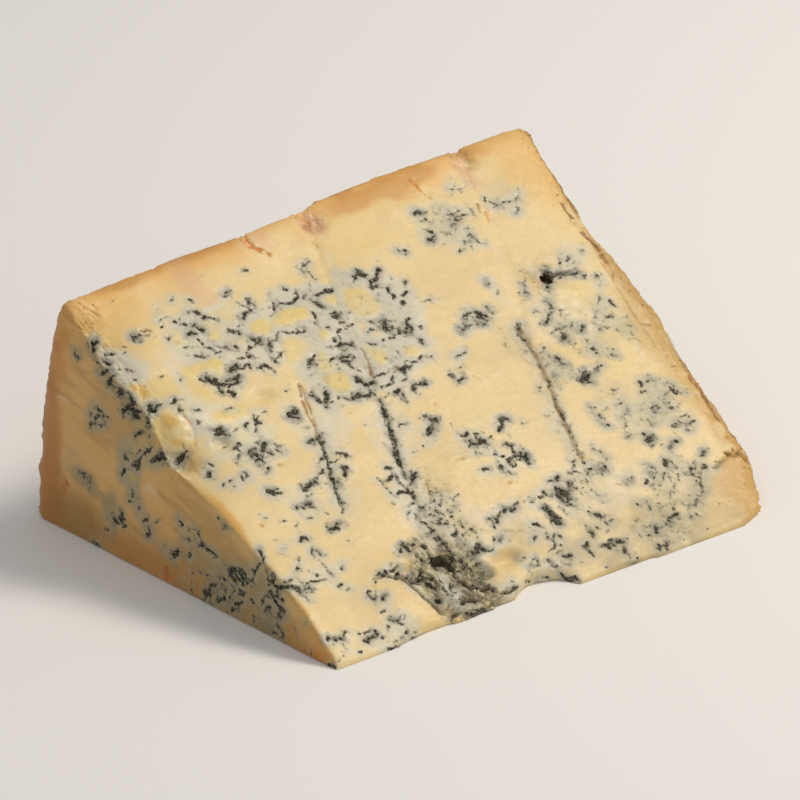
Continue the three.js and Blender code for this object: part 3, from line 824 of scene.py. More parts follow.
.4 .95  87.4 26.2  88.2 26.5  89 26.4
.3 .7  92.2 30.8  92.8 30
.2 .6  93.2 29.4  93.8 28.8  94.4 29.6
.3 .95  93.4 28  93.8 27.4
.3 1  98.9 40.4  98.5 39.4  98.6 38.6
.35 .95  98.7 38.4  99.3 37.8  99.2 36.9
.35 1  98.4 37  98.6 36  98.9 35.2
.35 .9  99.6 36.8  99.4 35.6  99.8 35
.25 .8  99.4 40.2  100.4 40.4
.2 .5  100 38.6  100.6 38.2
.25 .8  101.6 39  102.3 39.6  102.7 39.4
.3 .7  104.8 39  105.6 39.6  106.2 39.2
.25 .8  103.2 37  103.6 36.4
.35 .95  103.8 35.8  104.8 36  105.6 36.1  106.2 36.6  107 37.4
.5 .5  104.4 35.2  103.8 33.8
.3 .9  102.4 30.8  103.4 31  104.3 30.9
.2 .5  102.8 32  103.4 31.8
.6 1  106 28.2  106.8 28.4  107.4 28.8
.4 .8  106.2 29.4  105.8 30.2
.25 .35  103.8 43.6  105.2 43.8
.4 1  109.3 54.6  109.8 53.8  109.8 53
.35 .9  110.4 54.2  110.9 53.8
.3 .5  107.2 54.5  107.8 54.2
.35 1  113.2 51.6  113.8 51.2  114.2 51
.3 .5  112.8 53.4  113.4 53.2
.25 .6  114 52.9  114.5 52.6
.25 .9  106.9 49.5  107.8 49.7  108.8 49.9
.35 .95  106 48.8  106.6 49.3
.3 .9  116 42.3  116.8 42.4  117.6 42.3
.35 .95  114 41.6  114.6 42  114.8 42.6
.3 .9  113 40.1  113.7 40.4  114.4 40.2
.2 .5  117.8 41.6  119 41
.3 .8  119.8 40.8  121 40.4  121.8 39.8  121.9 38.8
.3 .95  120.4 39.2  120.8 38.6  120.5 37.4
.35 .9  120.8 37  121.6 37.2  122.2 36.6
.3 .7  119 37.9  120 38.4
.3 .9  116.6 35.6  116.8 36.6  117.2 37.2  118 37.8  119 38.2
.35 .9  116.8 34.6  117.4 34  117.9 34
.25 .6  120 34.2  121.4 34.7
.3 .6  109.6 36.2  110.4 36.2
.2 .6  111.4 37.2  111.9 37.5
.5 .8  112.8 35.8  113.6 36  114.3 35.6
.3 .9  112.2 34.7  113.2 34.8
.25 .9  110.4 31.9  111.2 32.1
.2 .6  111.4 32.2  112.6 31.8  113.2 31.6
.3 .5  109.8 34.4  109.9 32.6
.35 .5  117.8 32.4  118.8 32.4
.4 .6  117.6 31.2  118.8 31  119.8 31.2
.25 .8  119.8 31  120.2 30.6
.35 .9  114.6 29.6  115.4 30  116.2 29.6
.3 .9  116.4 30.6  117 29.8
.3 1  117.7 29.4  118.1 29
.25 1  118.5 28.9  118.8 28.5
.3 .9  116.6 27.6  117.4 27.4
.35 .6  119 29  120 29.2
.25 .5  113.4 27.8  114.6 28
.35 .8  107 28.8  108 29  108.4 28
.3 .95  111 26.2  112.2 26.1
# the lower part, from the left edge
.25 .8  -.2 25  .6 26  1.2 26.7
.3 .9  -.4 25.4  -.1 24.4  0 23.4
.55 1  .2 22.9  1 23.3  1.8 23.3  2.6 23
.35 .95  3.6 24.1  4.4 24.4
.45 .8  2.6 23  3.8 22.8  5 22.2  6 22
.4 1  4.4 21.4  5.4 21.2  6.4 21.3  7.2 21.2
.25 .9  6 21.8  7 22.2  8.2 22.4  9.2 22  10.2 21.8  11.2 21.6  11.8 21.8
.25 .9  10.2 22.9  10.7 23.6
.2 .4  8.6 24  9.6 24.8
.35 .9  4.6 20.6  4.9 19.6  5.2 18.6
.25 .7  6.3 20  7.3 20
.2 .7  13.2 26.6  13.6 25.4  13.9 24.4
.35 .9  13.6 23.4  13.8 22.6  13.8 21.8
.25 .8  16.9 23  17.6 23.5
.25 .8  13.4 19.1  14.2 19.5  14.6 19.2
.25 .8  14.8 17.8  15.3 18
.2 .8  21.8 17.3  22.6 17.8
.2 .3  20.8 15.4  21.4 16.4
.25 .9  18.4 14.8  18.6 15.6  19 16  19.6 15.4
.3 .95  18.2 14.6  18.4 13.6  19 13.4  19.4 13.8
.4 .95  20.4 12.8  21 13  21.4 13.6  22.2 13.4
.2 .6  18.4 12  18.8 11.6
.25 .6  18.4 10.2  19.6 10.4
.4 .95  2.5 7.8  3.1 8.4  3.5 8
.4 1  4.4 7.4  5.4 7.4  6.2 7.1
.2 .8  3.6 7.8  4.4 7.4
.25 .85  6.4 7.4  7 8  7.6 8.5  8.2 8
.2 .8  9.8 7  10.2 7
.3 .7  11.4 6.8  12.4 6.8  13.4 7  14 6.4
.4 .95  14 6.2  14 5.4  13 5  12 4.9
.5 1  10.4 5  11 4.4  11.6 5
.25 .5  5.6 6.6  5.2 5.6  5 4.6
.25 .7  5.5 4.5  5.9 4.2
.3 .4  .4 2.2  2 2.8  3.6 3.4
.25 .6  7.3 3  7.8 2.8
.4 .8  -.8 2  -.4 1.4
.25 .6  14.2 4  15.2 4.2
.35 .7  14 1  15.6 1.2  17 .8  19 .8
.15 .6  15 2.6  16 2.5  17.4 2.4
.2 .7  18.2 2.2  19.2 2.6
.25 .7  17 5.4  17.3 6  17.6 6.4
.35 .95  19.4 7.4  20 7  20.4 6.6
.25 .8  21 7  21.6 7.6  22 8
.3 .8  20.2 6.2  20.8 5.6  21.2 5.4
.2 .7  19.2 8.5  19.7 8.1
.3 .6  20.2 3.2  21.4 3.8
.25 .8  20.6 1.6  21.2 1.5
.2 .85  .4 13.3  1.1 13.7
# the needle tracks, where mould has grown along them
.16 1.4  33.8 55.8  33.3 54.7  32.5 52.4  31.7 49.7  30.5 46.9  29.4 43.9  28.3 40.8  27.2 38
.32 1.1  52.9 58.8  51.9 56.2  51.1 53.6  50.3 50.9  49.3 48.3  48.3 45.8  47.3 43.2
.2 1.1  47.3 43.2  46.2 40.7  45.4 38
.2 1  44.6 35.4  44.1 32.7  43.2 29.6
.14 1.2  42.3 26.9  42.4 24.8  42.7 22.9  43.1 20.7  43.9 17.8
# the cluster under the crust on the right
.4 .9  94.4 99  94.6 98  95.2 97.4
.5 1  91.4 93.8  92.2 93.4  92.9 93
.35 1  92.8 95.6  93.4 94.8  93.6 94
.45 .9  100.8 96.6  101.6 96  102.6 96.2
.35 .95  101 98.2  102.2 98.2  103.4 98.4
.4 1  101 91.6  101.8 90.9  102.4 90.3
.35 1  102.4 89.6  103 88.6  103.8 88.2
.3 .9  99 90.8  99.6 90.2
# the right needle track
.35 .9  96 65.8  95.7 62.8  95.3 60  94.9 57
.5 .6  94.6 55.4  94 51.6  93 48.4
.14 1  92 46  91.2 42.6  90.6 39.4  89.6 35.4  88.6 32
.3 .6  88.4 31.6  87.8 28.8  86.6 25.4
# round the mouldy hollow
.3 .6  22 17.5  23 18.1  24 18.6  24.8 19
.5 .85  25.2 18.4  26.2 18.7  27.2 18.6
.4 .95  27.8 18.4  28.6 18.6  29.4 18.6
.3 .8  27 17.2  28 17  28.8 16.2  29.2 15.4
.9 1  29.6 14.6  30.6 14.4  31.6 14.4  32.4 15
.4 .95  32.4 15.2  32.8 15.9  33.4 16.5
.35 .8  32.2 14  32.8 13.2
.25 .95  29.4 14.2  29.6 12.8  30 11.4  30 10  30.4 8.8
.15 .5  30.4 8.8  31 7.6  31.8 6.8
.4 1  32.4 22.2  33 22.6
.5 1  33.9 23.4  34.3 22.8  34.2 22
.3 .9  35.1 23.4  35.6 23
.35 .9  35.8 22.8  36.6 22.8
.25 .9  37.4 23.6  37.8 23.4
.2 .7  37.6 22.1  38 21.9
.4 1  38.6 21.4  38.8 20.8
.35 .9  35.4 20.2  35.8 19.2  35.8 18.4
.35 .95  42.2 25.8  42.6 24.4  42.8 23
.35 .9  43 22  43.1 21
.25 .8  43.6 19.6  43.8 17.8
.2 .7  43.8 15.6  43.9 14.4
.25 .8  44 13.6  44 12.2
.35 .95  46 21.8  46.8 21.6  47.6 22.2
.3 .8  47 21.6  46.8 20.8  47.2 20.2
.5 .95  48.6 16  49.4 16.8  50.2 17.8
.8 1  37.6 15.9  38.6 16.4  39.6 16  40.2 15.2
.5 1  39.8 16.8  39.9 15.4  39.9 14.4
.5 .7  40.2 14  40.4 12.6  40.6 11.2
.25 .7  37.4 18.4  37.8 17.2
.25 .7  41.6 17.2  42.2 16.6
.2 .6  40.4 14.6  41.4 14.6  41.8 13.8
.3 .9  34.2 13.2  35 13.6
.3 .6  36.4 12.4  36.8 12
.3 .85  32.6 12.2  33.4 11.8  33.6 10.8
.35 .8  35.8 11.4  36.6 11
.5 1  32.2 8.4  33 8.4
.7 .95  37.6 6  38.6 6.4  39.8 6.2  40.8 5.8
.4 .9  38.2 7.2  39.2 7.6
.5 .95  41.8 8.8  42.8 9  43.4 8.4
.25 .8  44.6 7.8  45 9  45.4 9.8
.35 1  45.6 7.4  46.4 7  46.8 6.2
.3 .8  45.2 9.6  46.2 10.2  47.2 10.8
.35 .95  46.8 4.9  48 4.7  49.2 4.5  50.6 4.9
.3 .9  49 5.6  50 5.6  51 5.4  52 5.2
.25 .7  42.2 6  43.2 5.7
.5 .7  31.8 2.6  33 3.2  34.6 3.4
.6 .95  36.4 3  37.6 2.4  38.8 2.2  40.4 1.8
.5 .9  39 3.4  40.4 2.8
.3 .5  22 2.7  22.8 2.9
.3 .6  22 6.6  22.8 7.4
.2 .6  30.6 5.4  31 6
.2 .7  31.8 5.1  32.1 5.3
# lower middle
.35 .95  50 18.2  50.3 17.2
.5 .95  50.2 16.6  51 15.8  51.8 15.4
.4 .6  51.8 15.4  53 15.6  53.8 16.4
.25 .6  53.4 16  54.2 17  55 17.6
.45 .95  55.6 16.6  56.4 17  57 17.8
.25 .6  53 20.4  53.9 20.9
.4 .3  53.8 22.8  54.3 22.6
.45 .9  56.8 20.4  57.2 21  57.4 21.6
.5 .95  57.2 22.6  58 22.6  58.6 21.8  58 21.2
.35 .85  59 22.6  60 23  60.8 23.4
.5 .9  61.4 23  62.4 23.6  63 22.8  64.2 23.2
.25 .7  62.1 24.2  62.6 24
.3 .8  64.6 24  65.6 24.2
.3 .85  69 23  69.8 23.4
.3 .85  71.6 23.6  72.4 23.9  73 23.3
.4 .9  73.6 24.8  73.6 23.8  74.4 23  75 23.4
.8 1  76.9 24.4  77.6 23.4  78.4 22.6
.7 1  76.4 22.4  76.8 21  77.6 20.6  78.2 21.2
.4 .8  76.4 19.8  77.4 19.4  78.4 18.9
.9 1  71.5 20.2  71.6 18.8  71.8 17.6  71.6 16.6
.4 .8  72.5 18.2  72.9 17.4
.3 .85  75 19.2  75 17.6
.3 .5  74.4 19.8  74.8 19.5
.35 .85  65.8 18.2  66.6 17.9  67 17.2
.2 .7  67 16.8  67.8 16
.2 .5  64.9 16.6  65.1 15.8
.2 .5  70 17  70.1 16.2
.3 .95  63.4 14.4  64.2 14.7
.35 .85  66.2 13.6  67 13.8  67.6 13.2
.3 .85  68.6 14  69.4 13.8  69.8 12.8
.25 .7  67.7 14.6  68.1 14
.35 .9  66.4 11.2  67.2 11.8
.25 .7  67.2 12.8  67.4 12.2
.3 .7  68 10.9  68.6 10.5
.2 .6  64 10.2  65 10.6  65.8 10.8
.4 1  60 10  60.8 9.9
.5 .85  58.6 8.8  59.4 8.4  60 8.2  60.6 9
.4 .6  57.4 10.4  58 11  58.6 10.4
.3 .8  57.2 8  57.4 6.8
.5 1  63.2 8.4  63.4 7.4  63.2 6.4
.3 .9  63.4 7  64 6.2  64.6 6
.35 .85  65.6 7.2  66 6.4  66.8 5.9
.25 .9  67.9 6.9  68.2 6.7
.4 .7  66 9.4  67 9.8  68 9.6
.5 .95  67 8.4  68 8  69 8
.35 .95  73.4 9.4  74 9  74.6 9.4
.3 .8  73.6 8  73.6 7  73.8 6
.2 .7  70.1 5.8  70.3 5.6
.3 .7  77 12.6  77.4 13.4  77.8 12.6
.4 .8  77.4 12  77.6 11  77.2 10.2
.3 .9  76.7 8  77.1 7.7
.4 .8  77.6 7.8  78.4 7  78.8 6.4
.2 .7  75.3 8.4  75.6 8
.35 .85  50 5.5  51 5.2  52 5.1
.3 .6  51.6 6.7  52.2 6.5
.3 .7  55 5.2  57 5.3  58.8 5  60.2 4.4
.4 1  63.8 4.4  63.6 3.4  63.8 2.6
.5 .9  64 2.6  65 2.4  66 2.2
.4 .4  74.2 2.5  75 2.3
# lower right
.4 .8  79.4 23.2  80.4 23.8  81 24.6
.4 .95  80.8 24.8  81.6 24.8
.25 .8  81.1 23.3  81.6 23.1
.4 .7  78.2 26.3  78.8 26
.3 .6  79.6 25.8  80.2 25.6
.4 .8  83 26.8  84 26.8
.35 .95  86.6 25  87.2 25.8  88 26.2
.15 .7  86.4 25  86.6 23.9
.35 .9  88.8 25.8  89.8 25.4
.5 1  90.2 25.6  91 25.2  91.8 25.6
.2 .8  90.2 24.8  89.8 23.8
.3 .5  84.8 22  85 20.6  84.9 19.6
.2 .8  85.2 19.4  85.4 19.2
.35 .9  93.8 20.2  94.8 20.6  95.4 20.2
.3 .95  95.4 20.6  96 20.9
.25 .7  93.6 19.7  94.2 19.9
.35 .95  100.4 20.4  101 21  101.6 20.8
.4 .95  100.6 19.8  101.4 20.2  102.4 20.2
.4 .9  102 22  102.6 21.2  102.6 20.4
.25 .6  101 23  101.8 23.2  102.4 22.4
.25 .9  100.5 19  100.9 18.8
.3 .9  97.6 18.4  98.4 18.8  98.8 19.4
.25 .9  98.9 17.6  99.6 17.8
.5 .7  103 18.6  103.8 19.2  104.6 19.6
.3 .5  101.6 17.6  103 18.2
.25 .8  104 20  105 20.2  106 20.2
.4 .9  105.4 21.2  106 21.8  106.4 22.4
.3 .4  98.6 14.8  100 15.2
.25 .8  81.2 17.4  81.8 16.8
.3 .95  80.5 16.4  81 15.6
.45 .95  81.4 15.2  82 14.6  82.4 14
.25 .9  81.8 13.9  81.8 13.5
.3 .95  83.6 12.4  84.2 12.8
.25 .8  82.4 12.2  82.8 11.6
.3 .8  80.6 10.4  81.4 10.8
.25 .8  79.5 11.9  79.9 11.7
.25 .9  92.5 14.2  93 13.6
.35 .95  95.2 13.8  95 13  94.7 12.2
.25 .7  94.6 11.4  94 10.4
.5 .95  78.4 7.2  79.4 7.4  80.2 6.8
.4 .7  80 8.2  80.6 8.2
.6 .9  81.2 7.4  82.2 6.9  83 6.6
.4 .7  82.4 8.2  83.4 8  84.4 7.4
.4 .95  82.2 5.6  81.8 4.8  81.4 4.2
.2 .8  87.8 7.8  87.9 6.4
.35 .95  89.6 7.6  90.1 6.8
.25 .9  89.4 6.4  89.7 6
.3 .7  90.6 8.2  91.2 7.4
.3 .7  90 5.6  91 6
.6 .95  91.8 6.2  92.4 6.9  92.8 7.6
.25 .8  92.2 8.5  92.3 8
.3 .9  93 6.8  94 7.2  95 7.4
.5 .95  95.4 7.4  96.2 7.8  96.8 8.4
.4 1  96.4 7.2  97 8  97.2 8.8
.3 .8  95.8 7  96.6 6.4
.25 .8  97.6 8.8  98.4 9
.3 1  98.8 8.6  99.4 8.8
.3 .8  99.6 8.9  100.6 9.2
.35 .7  91.4 5.4  92.4 5.2
.35 .95  102 7  102.4 7.4
.35 .9  103.2 10.4  103.8 9.8
.3 .7  102.6 9.2  103.6 9.6
.25 .8  104.4 7.4  104.9 6.6
.4 .9  105.6 9.6  106.4 10.4  107 10.8
.3 .95  89.6 2.4  90 3.2
.5 .95  91.8 2.6  92.6 2.9  93.2 3.2
.2 .8  90.6 3  91 1.8
.3 .7  91.2 1.5  91.9 1.4
.3 .8  93.6 2.6  94.6 3
.25 .9  96.4 3  97 2.2
.2 .6  97.4 2.6  97.8 2.2
.35 .95  81.2 .8  82.2 .6
.25 .8  82.2 2  83.2 1.8
.3 .5  104 3.1  104.6 2.9
.5 1  111 25.6  111.8 25.9  112.6 25.8
.35 .95  109.6 24.9  110.4 25.3
.4 .5  108.2 26.4  108.8 26.4
.4 1  115.2 20.4  116.2 20.7  117 21.2
.25 .6  117 21.2  118 21.8
.25 .9  112.8 18.8  113.3 19.2
.3 .95  110.4 17.8  111 18.3
.25 .7  108.8 17.8  109.6 17.9
.4 .9  113.4 17.6  114.2 17.8  114.8 17.6
.25 .85  116.4 16.6  117.2 16.9  118 17.1
.25 .5  117.6 18  118.6 17.7  119.6 17.5
.3 .85  112.6 16.6  111.8 15.6  111.2 14.6  110.4 13.7  109.8 13
.3 .85  109.3 12.2  109.7 11.8
.3 .95  108.4 11.2  109 11.6
.3 .9  107.4 11.8  108 11.2
.5 .9  105.8 9.8  106.6 10.2
.5 .9  106 20.8  106.4 22.2
.5 .4  110.6 7.2  111.6 7.6
""")
print("strokes on the upper cut:", len(UPPER_STROKES))

# %% [markdown]
# The left end is the second cut face in sight. A place on it is y and z: back from its front
# foot, and up from the floor.

# %% Strokes on the left end
END_STROKES = read_strokes("""
# front foot of the left end
.3 .6  2 1  2.8 .6  3.4 .2
.2 .4  0 2.6  .8 2  1.4 1.4
.5 1  17.8 13  18.8 12.6  20 12.4
.5 1  36 9.4  35.2 10.4  34.2 11.2
.35 .9  35.2 10.4  34.8 9  34 8.6
.45 1  33.4 8.2  32.4 7.2  31.4 6.6
.45 1  25.8 18.4  25 17.4  24.4 16.2
.3 1  24.2 15.4  23.2 13.4  22.8 12
.55 1  21.8 9.9  21 9  20 8.4
.4 1  19.2 8  18 7.2  17.4 6.4
.3 .9  28.4 6.2  27.4 5.4  26.4 5
.25 .8  27.2 7.6  26.8 6.4
.4 .9  20 3.2  19.2 2.6  18.4 2
.3 .8  38.4 6.2  37.4 5.4
.1 .7  14.6 5.4  13.5 3.4  13.3 1.6
.1 .6  12.3 4.4  11.3 2.4  11.1 .8
.08 .6  10 3  9.2 1.4  9 .3
.4 .95  19.2 13  20.6 12.4  21.6 12.6  22.4 12.4
.25 .8  20.8 14.4  21.2 13.6  21.8 13
.45 1  19.8 11.2  20 10.4  20.2 9.8
.3 .9  18.4 10  18.8 9.7
.25 .8  20.6 9.2  21.6 9.5  22.6 9  23.6 8.8  24.4 8.2  24.8 7.2
.35 1  17.4 7.4  18 6.6  18.6 6.2  19.4 5.4  20.2 5
.3 .9  18.2 7.8  18.8 7  19.6 6.4  19.8 5.4
.25 .7  19.8 5  20.2 4.2  20.2 3.4
.45 1  22.6 6.6  23.4 6.2  23.8 5.6  24.2 5
.3 .8  22.4 5.6  23 5.2
.25 .6  20.8 4.8  21.6 4.9
.3 .6  17.6 1.4  18.4 1.2  19 .6
.25 .6  20.2 1.4  21 1.4  21.6 1
.3 .85  24.6 7.3  25.2 6.6
.3 .5  26.2 2.8  27 2.9  27.8 2.6
.3 .6  27.2 .8  28 1.3  28.8 1.2
# lower middle of the left end
.4 1  26.6 14.4  27.2 13  28 11.6  29 10.4  30 9.4
.25 .85  28.4 10.6  29.2 10.2  29.8 10.4
.4 1  30.8 11  31.6 11.8  32.6 11.9  33.4 12.1
.6 1  31 10  32.2 10.4  33.2 10.8  34 11.4
.45 1  31.4 9.2  32.4 9.2  33.2 9.6  34 10.4
.3 .95  30 9.2  31 8.7  32 8.9  32.8 8.7  34.4 8.4
.3 .9  35 7.2  35.6 7.4  36.6 7.4  37.6 7.8  38.6 7.5  40 7.6
.2 .8  34.2 7.4  34 6.6  34.6 5.8  34.8 5
.25 .9  30.4 7.2  31 6.4  31.8 6  32.6 6.2  33.4 6
.35 .95  31.6 4.6  32.2 4.1  33 3.8  34 3
.35 .9  33 2.7  34 2.4  34.8 1.8  35.4 1.4
.25 .7  36 .6  36.8 .5
.25 .8  36.2 6.8  36.4 6  37 5.4
.2 .7  36.8 5  37.6 5.1  38.8 5
.45 1  37.6 3.4  38.4 2.8  39.2 2.4  39.8 1.8
.25 .8  35.4 4.6  35.6 3.6  36.4 3
.35 .95  40 6  41 5.3  42 4.8  42.6 3.8  43 2.8  43.6 1.8  44.4 .2
.45 .7  40.6 5.2  41.6 5.4
.45 .5  42 7.2  43.2 6.8  44.8 6.6
.3 .35  44.8 6.2  46.4 6.6  48.4 7.2
.7 .95  40.4 12.2  41.6 12.4  42.8 12.6  44 12.9  45.2 13.2
.5 .75  45.2 13.8  45.8 14.8  46.6 15.5  47.4 15.8
.3 .5  47.4 15.8  48.6 15.6  49.6 15
.3 .7  49 13  49.8 12.9  50.4 12.6
.2 .5  51.6 12.8  51.6 12
.55 .9  51.8 15.6  52.6 16
.35 .95  48.8 9.6  49.2 9  49.6 8.6
.3 .4  50 9  51 9.1
.65 .85  53.6 8.4  54 7.6  54.6 7
.3 .5  48 5.4  48.8 5.4
.5 1  37.2 20  37.6 20.2
.3 .5  37.8 20.4  38.6 20.9
.3 .6  36.4 11.4  37.2 11  38 11.1
# broken upper part of the left end
.6 .9  60.2 39.4  61.2 39.1  62.6 38.8
.35 1  62.2 38  62.8 37  63 36  63.4 34.8
.5 1  63 36.8  63.8 36.6  64.4 36.1  63.6 35.2
.35 .9  63.6 34.1  64.2 33.5
.4 .8  62.4 32.5  63 32.3
.3 .8  62 30  62.4 29.2  62.4 28.4
.3 .85  65 32.4  66 32  67 31.6  67.2 30.9  67.4 30.4
.3 .9  67 37.9  67.8 38.5  68.4 39.1
.6 1  67.6 38.3  68.6 37.4  68.8 36.2  67.8 35.4
.3 .9  65.8 37.1  66.6 36.8  67.4 36.6
.45 1  68.6 36.2  69.6 36.1  70.4 35.8  71.4 35.2
.3 .9  67 34.7  67.6 34.9  68.4 34.8
.35 .9  69.4 35  70.6 35.6
.5 1  71.8 39.5  72.4 39.1  73 38.9
.25 .6  72.2 38  71.9 37.4  71.8 36.8
.4 .95  73.2 40  74.2 40.2  75.4 40  76.2 39.5  77 39.6
.65 1  75.4 41.1  76 40.6  76.6 40
.25 .7  73.6 42.8  74.8 42.5  75.4 41.8
.5 1  76.6 42.7  77.4 42.6  78 42.3  79 41.5
.3 .7  76.4 44.6  77.6 44.6  78.6 44.8
.3 .7  78.6 43.2  79.8 43.5  81 43.8
.6 .9  80.2 48.3  80.8 48  81.4 47.4
.6 .9  80.8 46.6  81.6 46.2  82.4 45.7
.35 .6  83.4 46  83.8 46.6
.3 .8  75.4 31.8  76.6 31.9  77.8 32.2  79.4 32.5  81 33
.3 .75  77.8 32  79 31.6  80.2 31  81 30.3
.5 .55  78.2 29.6  79.4 29.3
.45 .5  80.2 33.2  81 32.9  81.6 32.4
.35 .85  82.3 31.1  82.8 30.8  83 30.3
.4 .95  81.3 29.2  82 28.8  82.8 28.2
.45 1  87 43  87.4 42.6  87.8 42.8
# middle of the left end
.55 1  57.8 28.5  58.6 28.6  59.4 28.2  60.2 27.8
.5 1  59.4 27.6  60.4 27.4  61.2 27  61.8 26.6
.35 .95  63.2 28.7  64 27.9  64.8 27.3  65.4 26.2
.45 1  65 26.6  65.8 25.9  66.2 25.2
.55 1  66.2 25  67 24.4  67.8 24
.3 .95  66.8 24.4  66.4 23.4
.25 .7  65.4 28  66 27.4  66.6 26.8
.15 .6  67.8 26.4  68.8 26.5  69.6 26.2
.4 .95  70.2 24.7  71 24.6
.5 1  71.2 21.3  71.7 20.8  72.2 20
.2 .8  72.2 20  72.3 19.3
.2 .6  69.9 22.1  70.4 21.9
.3 .45  66.4 19.6  67 19.2
.4 .6  66.4 17  67.4 16.2
.35 .9  68.2 17.5  68.4 16.6  68.7 15.8
.4 .95  67.8 15.3  68.6 15  69.5 15
.3 .7  65.6 15.4  65.8 14.6  66.2 13.8
.3 .5  66.8 12.7  67.2 12.5
.35 .95  63 12.8  63.6 12.2  64.4 12  65.2 11.4
.3 .8  63.4 10.8  63 10.3  62.8 9.8
.35 .95  63.2 9.4  63.6 8.9  64.2 8.3
.3 .6  59.2 14  60 13.2  61 12.6
.45 .4  57 9.4  57.2 8.8  57.6 8.2
.5 1  72 11.2  72.2 10.2  72.6 9.4
.25 .9  71.4 9.8  72 9.6  73 9.7
.25 .9  71 8.4  71.6 8.3  72.2 8.2
.2 .7  72.6 8.2  73.6 8.1
.4 .95  74.4 8.4  75.2 8.9  75.8 9.7
.25 .8  75.2 7  75.9 7.3
.35 .6  76.2 9  77 8.2  77.8 7.4
.2 .6  77 5.4  77.6 4.9  78.4 5.1
.3 .5  78.6 3.2  79 2.8
# back foot of the left end
.9 .4  83 15  84 15.2  85 15.5  86 15.8  87 16
.4 .5  85.2 16.1  86.2 15.8
.3 .5  85.4 13.8  85.8 13.4
.45 .45  83 13.1  84 12.6
.45 .5  89.2 19.4  90 19.2
.2 .5  91.1 15.9  91.4 15.7
.5 .8  80.4 .2  81.6 .3  82.8 .1
""")
print("strokes on the left end:", len(END_STROKES))

# %% [markdown]
# Needle tracks, cracks and stains. The cheese was pierced with long needles to let air in.
# Three tracks reach this face: they start as a pinkish crumbly notch in the crust, run down as
# a pale groove, and end brown and mouldy. Where the crust cracked, air has turned the paste
# orange. Where it broke, crevices gape, and their black is painted shade. All are drawn in the
# same way as the mould, each kind into its own field.

# %% Tracks, cracks and stains on the upper cut
BROWN_LINES = read_strokes("""
# the left needle track
.22 .9  38 68.6  37.5 66.7  36.8 64.6  36.1 62.5  35.3 59.8  34.3 57.3  33.3 54.7
.3 .9  37.8 69.2  37 67.4  36.2 65.7
.3 .9  35.8 64.4  35.1 62.6  34.8 61  34.7 59.6  34.2 58  33.5 56.2  33 55
# the middle one
.3 .9  57.4 72.8  57.4 71.6  57 70.6  56.7 69.2  56.4 68  56 66.6  55 65.4
# the right one, with its rusty part
.35 .9  92 46  91.3 44  90.7 42  90.3 40
.3 .9  90.3 40  90 38.6  89.6 37.4  88.6 34  87.9 30.6
.8 .55  93 49  91 42  89.4 36  88 30
1.1 .5  96.2 65  95.8 61  95.2 57  94.4 53  93.2 49
# cracks in the crust and stains beside them
.25 .9  109 99  108.6 97.8  108.3 96.4
.5 .6  101 97.6  102.2 97.2  103.4 97.4
.3 .7  101.4 95.4  102.4 95.2
.12 .8  65 102.5  64.6 100.2
.25 .8  128 71.5  127.2 70.4  126.8 69.2
.35 1  121.6 19.2  122.4 18.8  123 18.4
.35 1  123.6 18.8  124.4 19.6
.35 1  125.4 18.6  126.4 19  127 19.6
.55 1  128.9 92.4  128.8 88.2
.5 1  128.4 83.4  128.6 80.6  128.9 77.8
.3 .9  128.6 76.6  128.4 74.2
.14 .8  127 74.4  126.8 69.6  125.8 63.2
.14 .8  125.8 63  125.1 58  125 54.4  124.6 50
.25 .8  125.2 56.8  126.2 56  127.4 55.4
.15 .6  126.2 52.4  126 50  125.6 47  125.2 43
.15 .6  127.8 52.4  127.4 49  127 46  126.6 43
.6 1  127.2 39.8  127 36.5  126.8 33.6
.5 1  126.8 33.2  126.4 30.4  126.2 27.3
.4 .9  126.6 23.6  126.6 20.4
.3 .6  126.6 34  126 32  125.6 30  125.4 28
.15 .5  122.9 18.6  122.8 14  122.4 10.8
.25 .7  120.6 53.8  121.4 53.4  122 52.6
# brown spots
.22 .9  12.2 93.6  12.9 93.1  13.6 93.4  14.2 92.9
.4 .4  102.3 73.8  102.6 73.8
.3 .6  9.6 74.4  10.5 73.8
.4 .5  20.4 51.5  20.7 51.5
.3 .4  38.9 51.3  39.2 51.3
.35 .6  25 32.6  25.3 32.5
.25 .5  26.1 29  26.3 29
.4 .4  17.2 23.2  17.5 23.2
.3 .5  14.9 17.9  15.2 17.9
.25 .5  7.4 3  7.7 3
.25 .5  18.5 2.4  18.8 2.4
.3 .5  69.1 29.2  69.4 29.2
.25 .6  79.5 5.4  79.8 5.4
.2 .6  79.6 1.6  79.9 1.6
.25 .5  88.1 2.8  88.4 2.8
.2 .8  28 19.6  28.6 20.6
.2 .8  29.6 18.8  29.8 20
.25 .7  49.6 36.8  49 35  48.2 33.4  47.2 31.6
.2 .6  92.4 59  92.5 57  92.4 55.6
""")
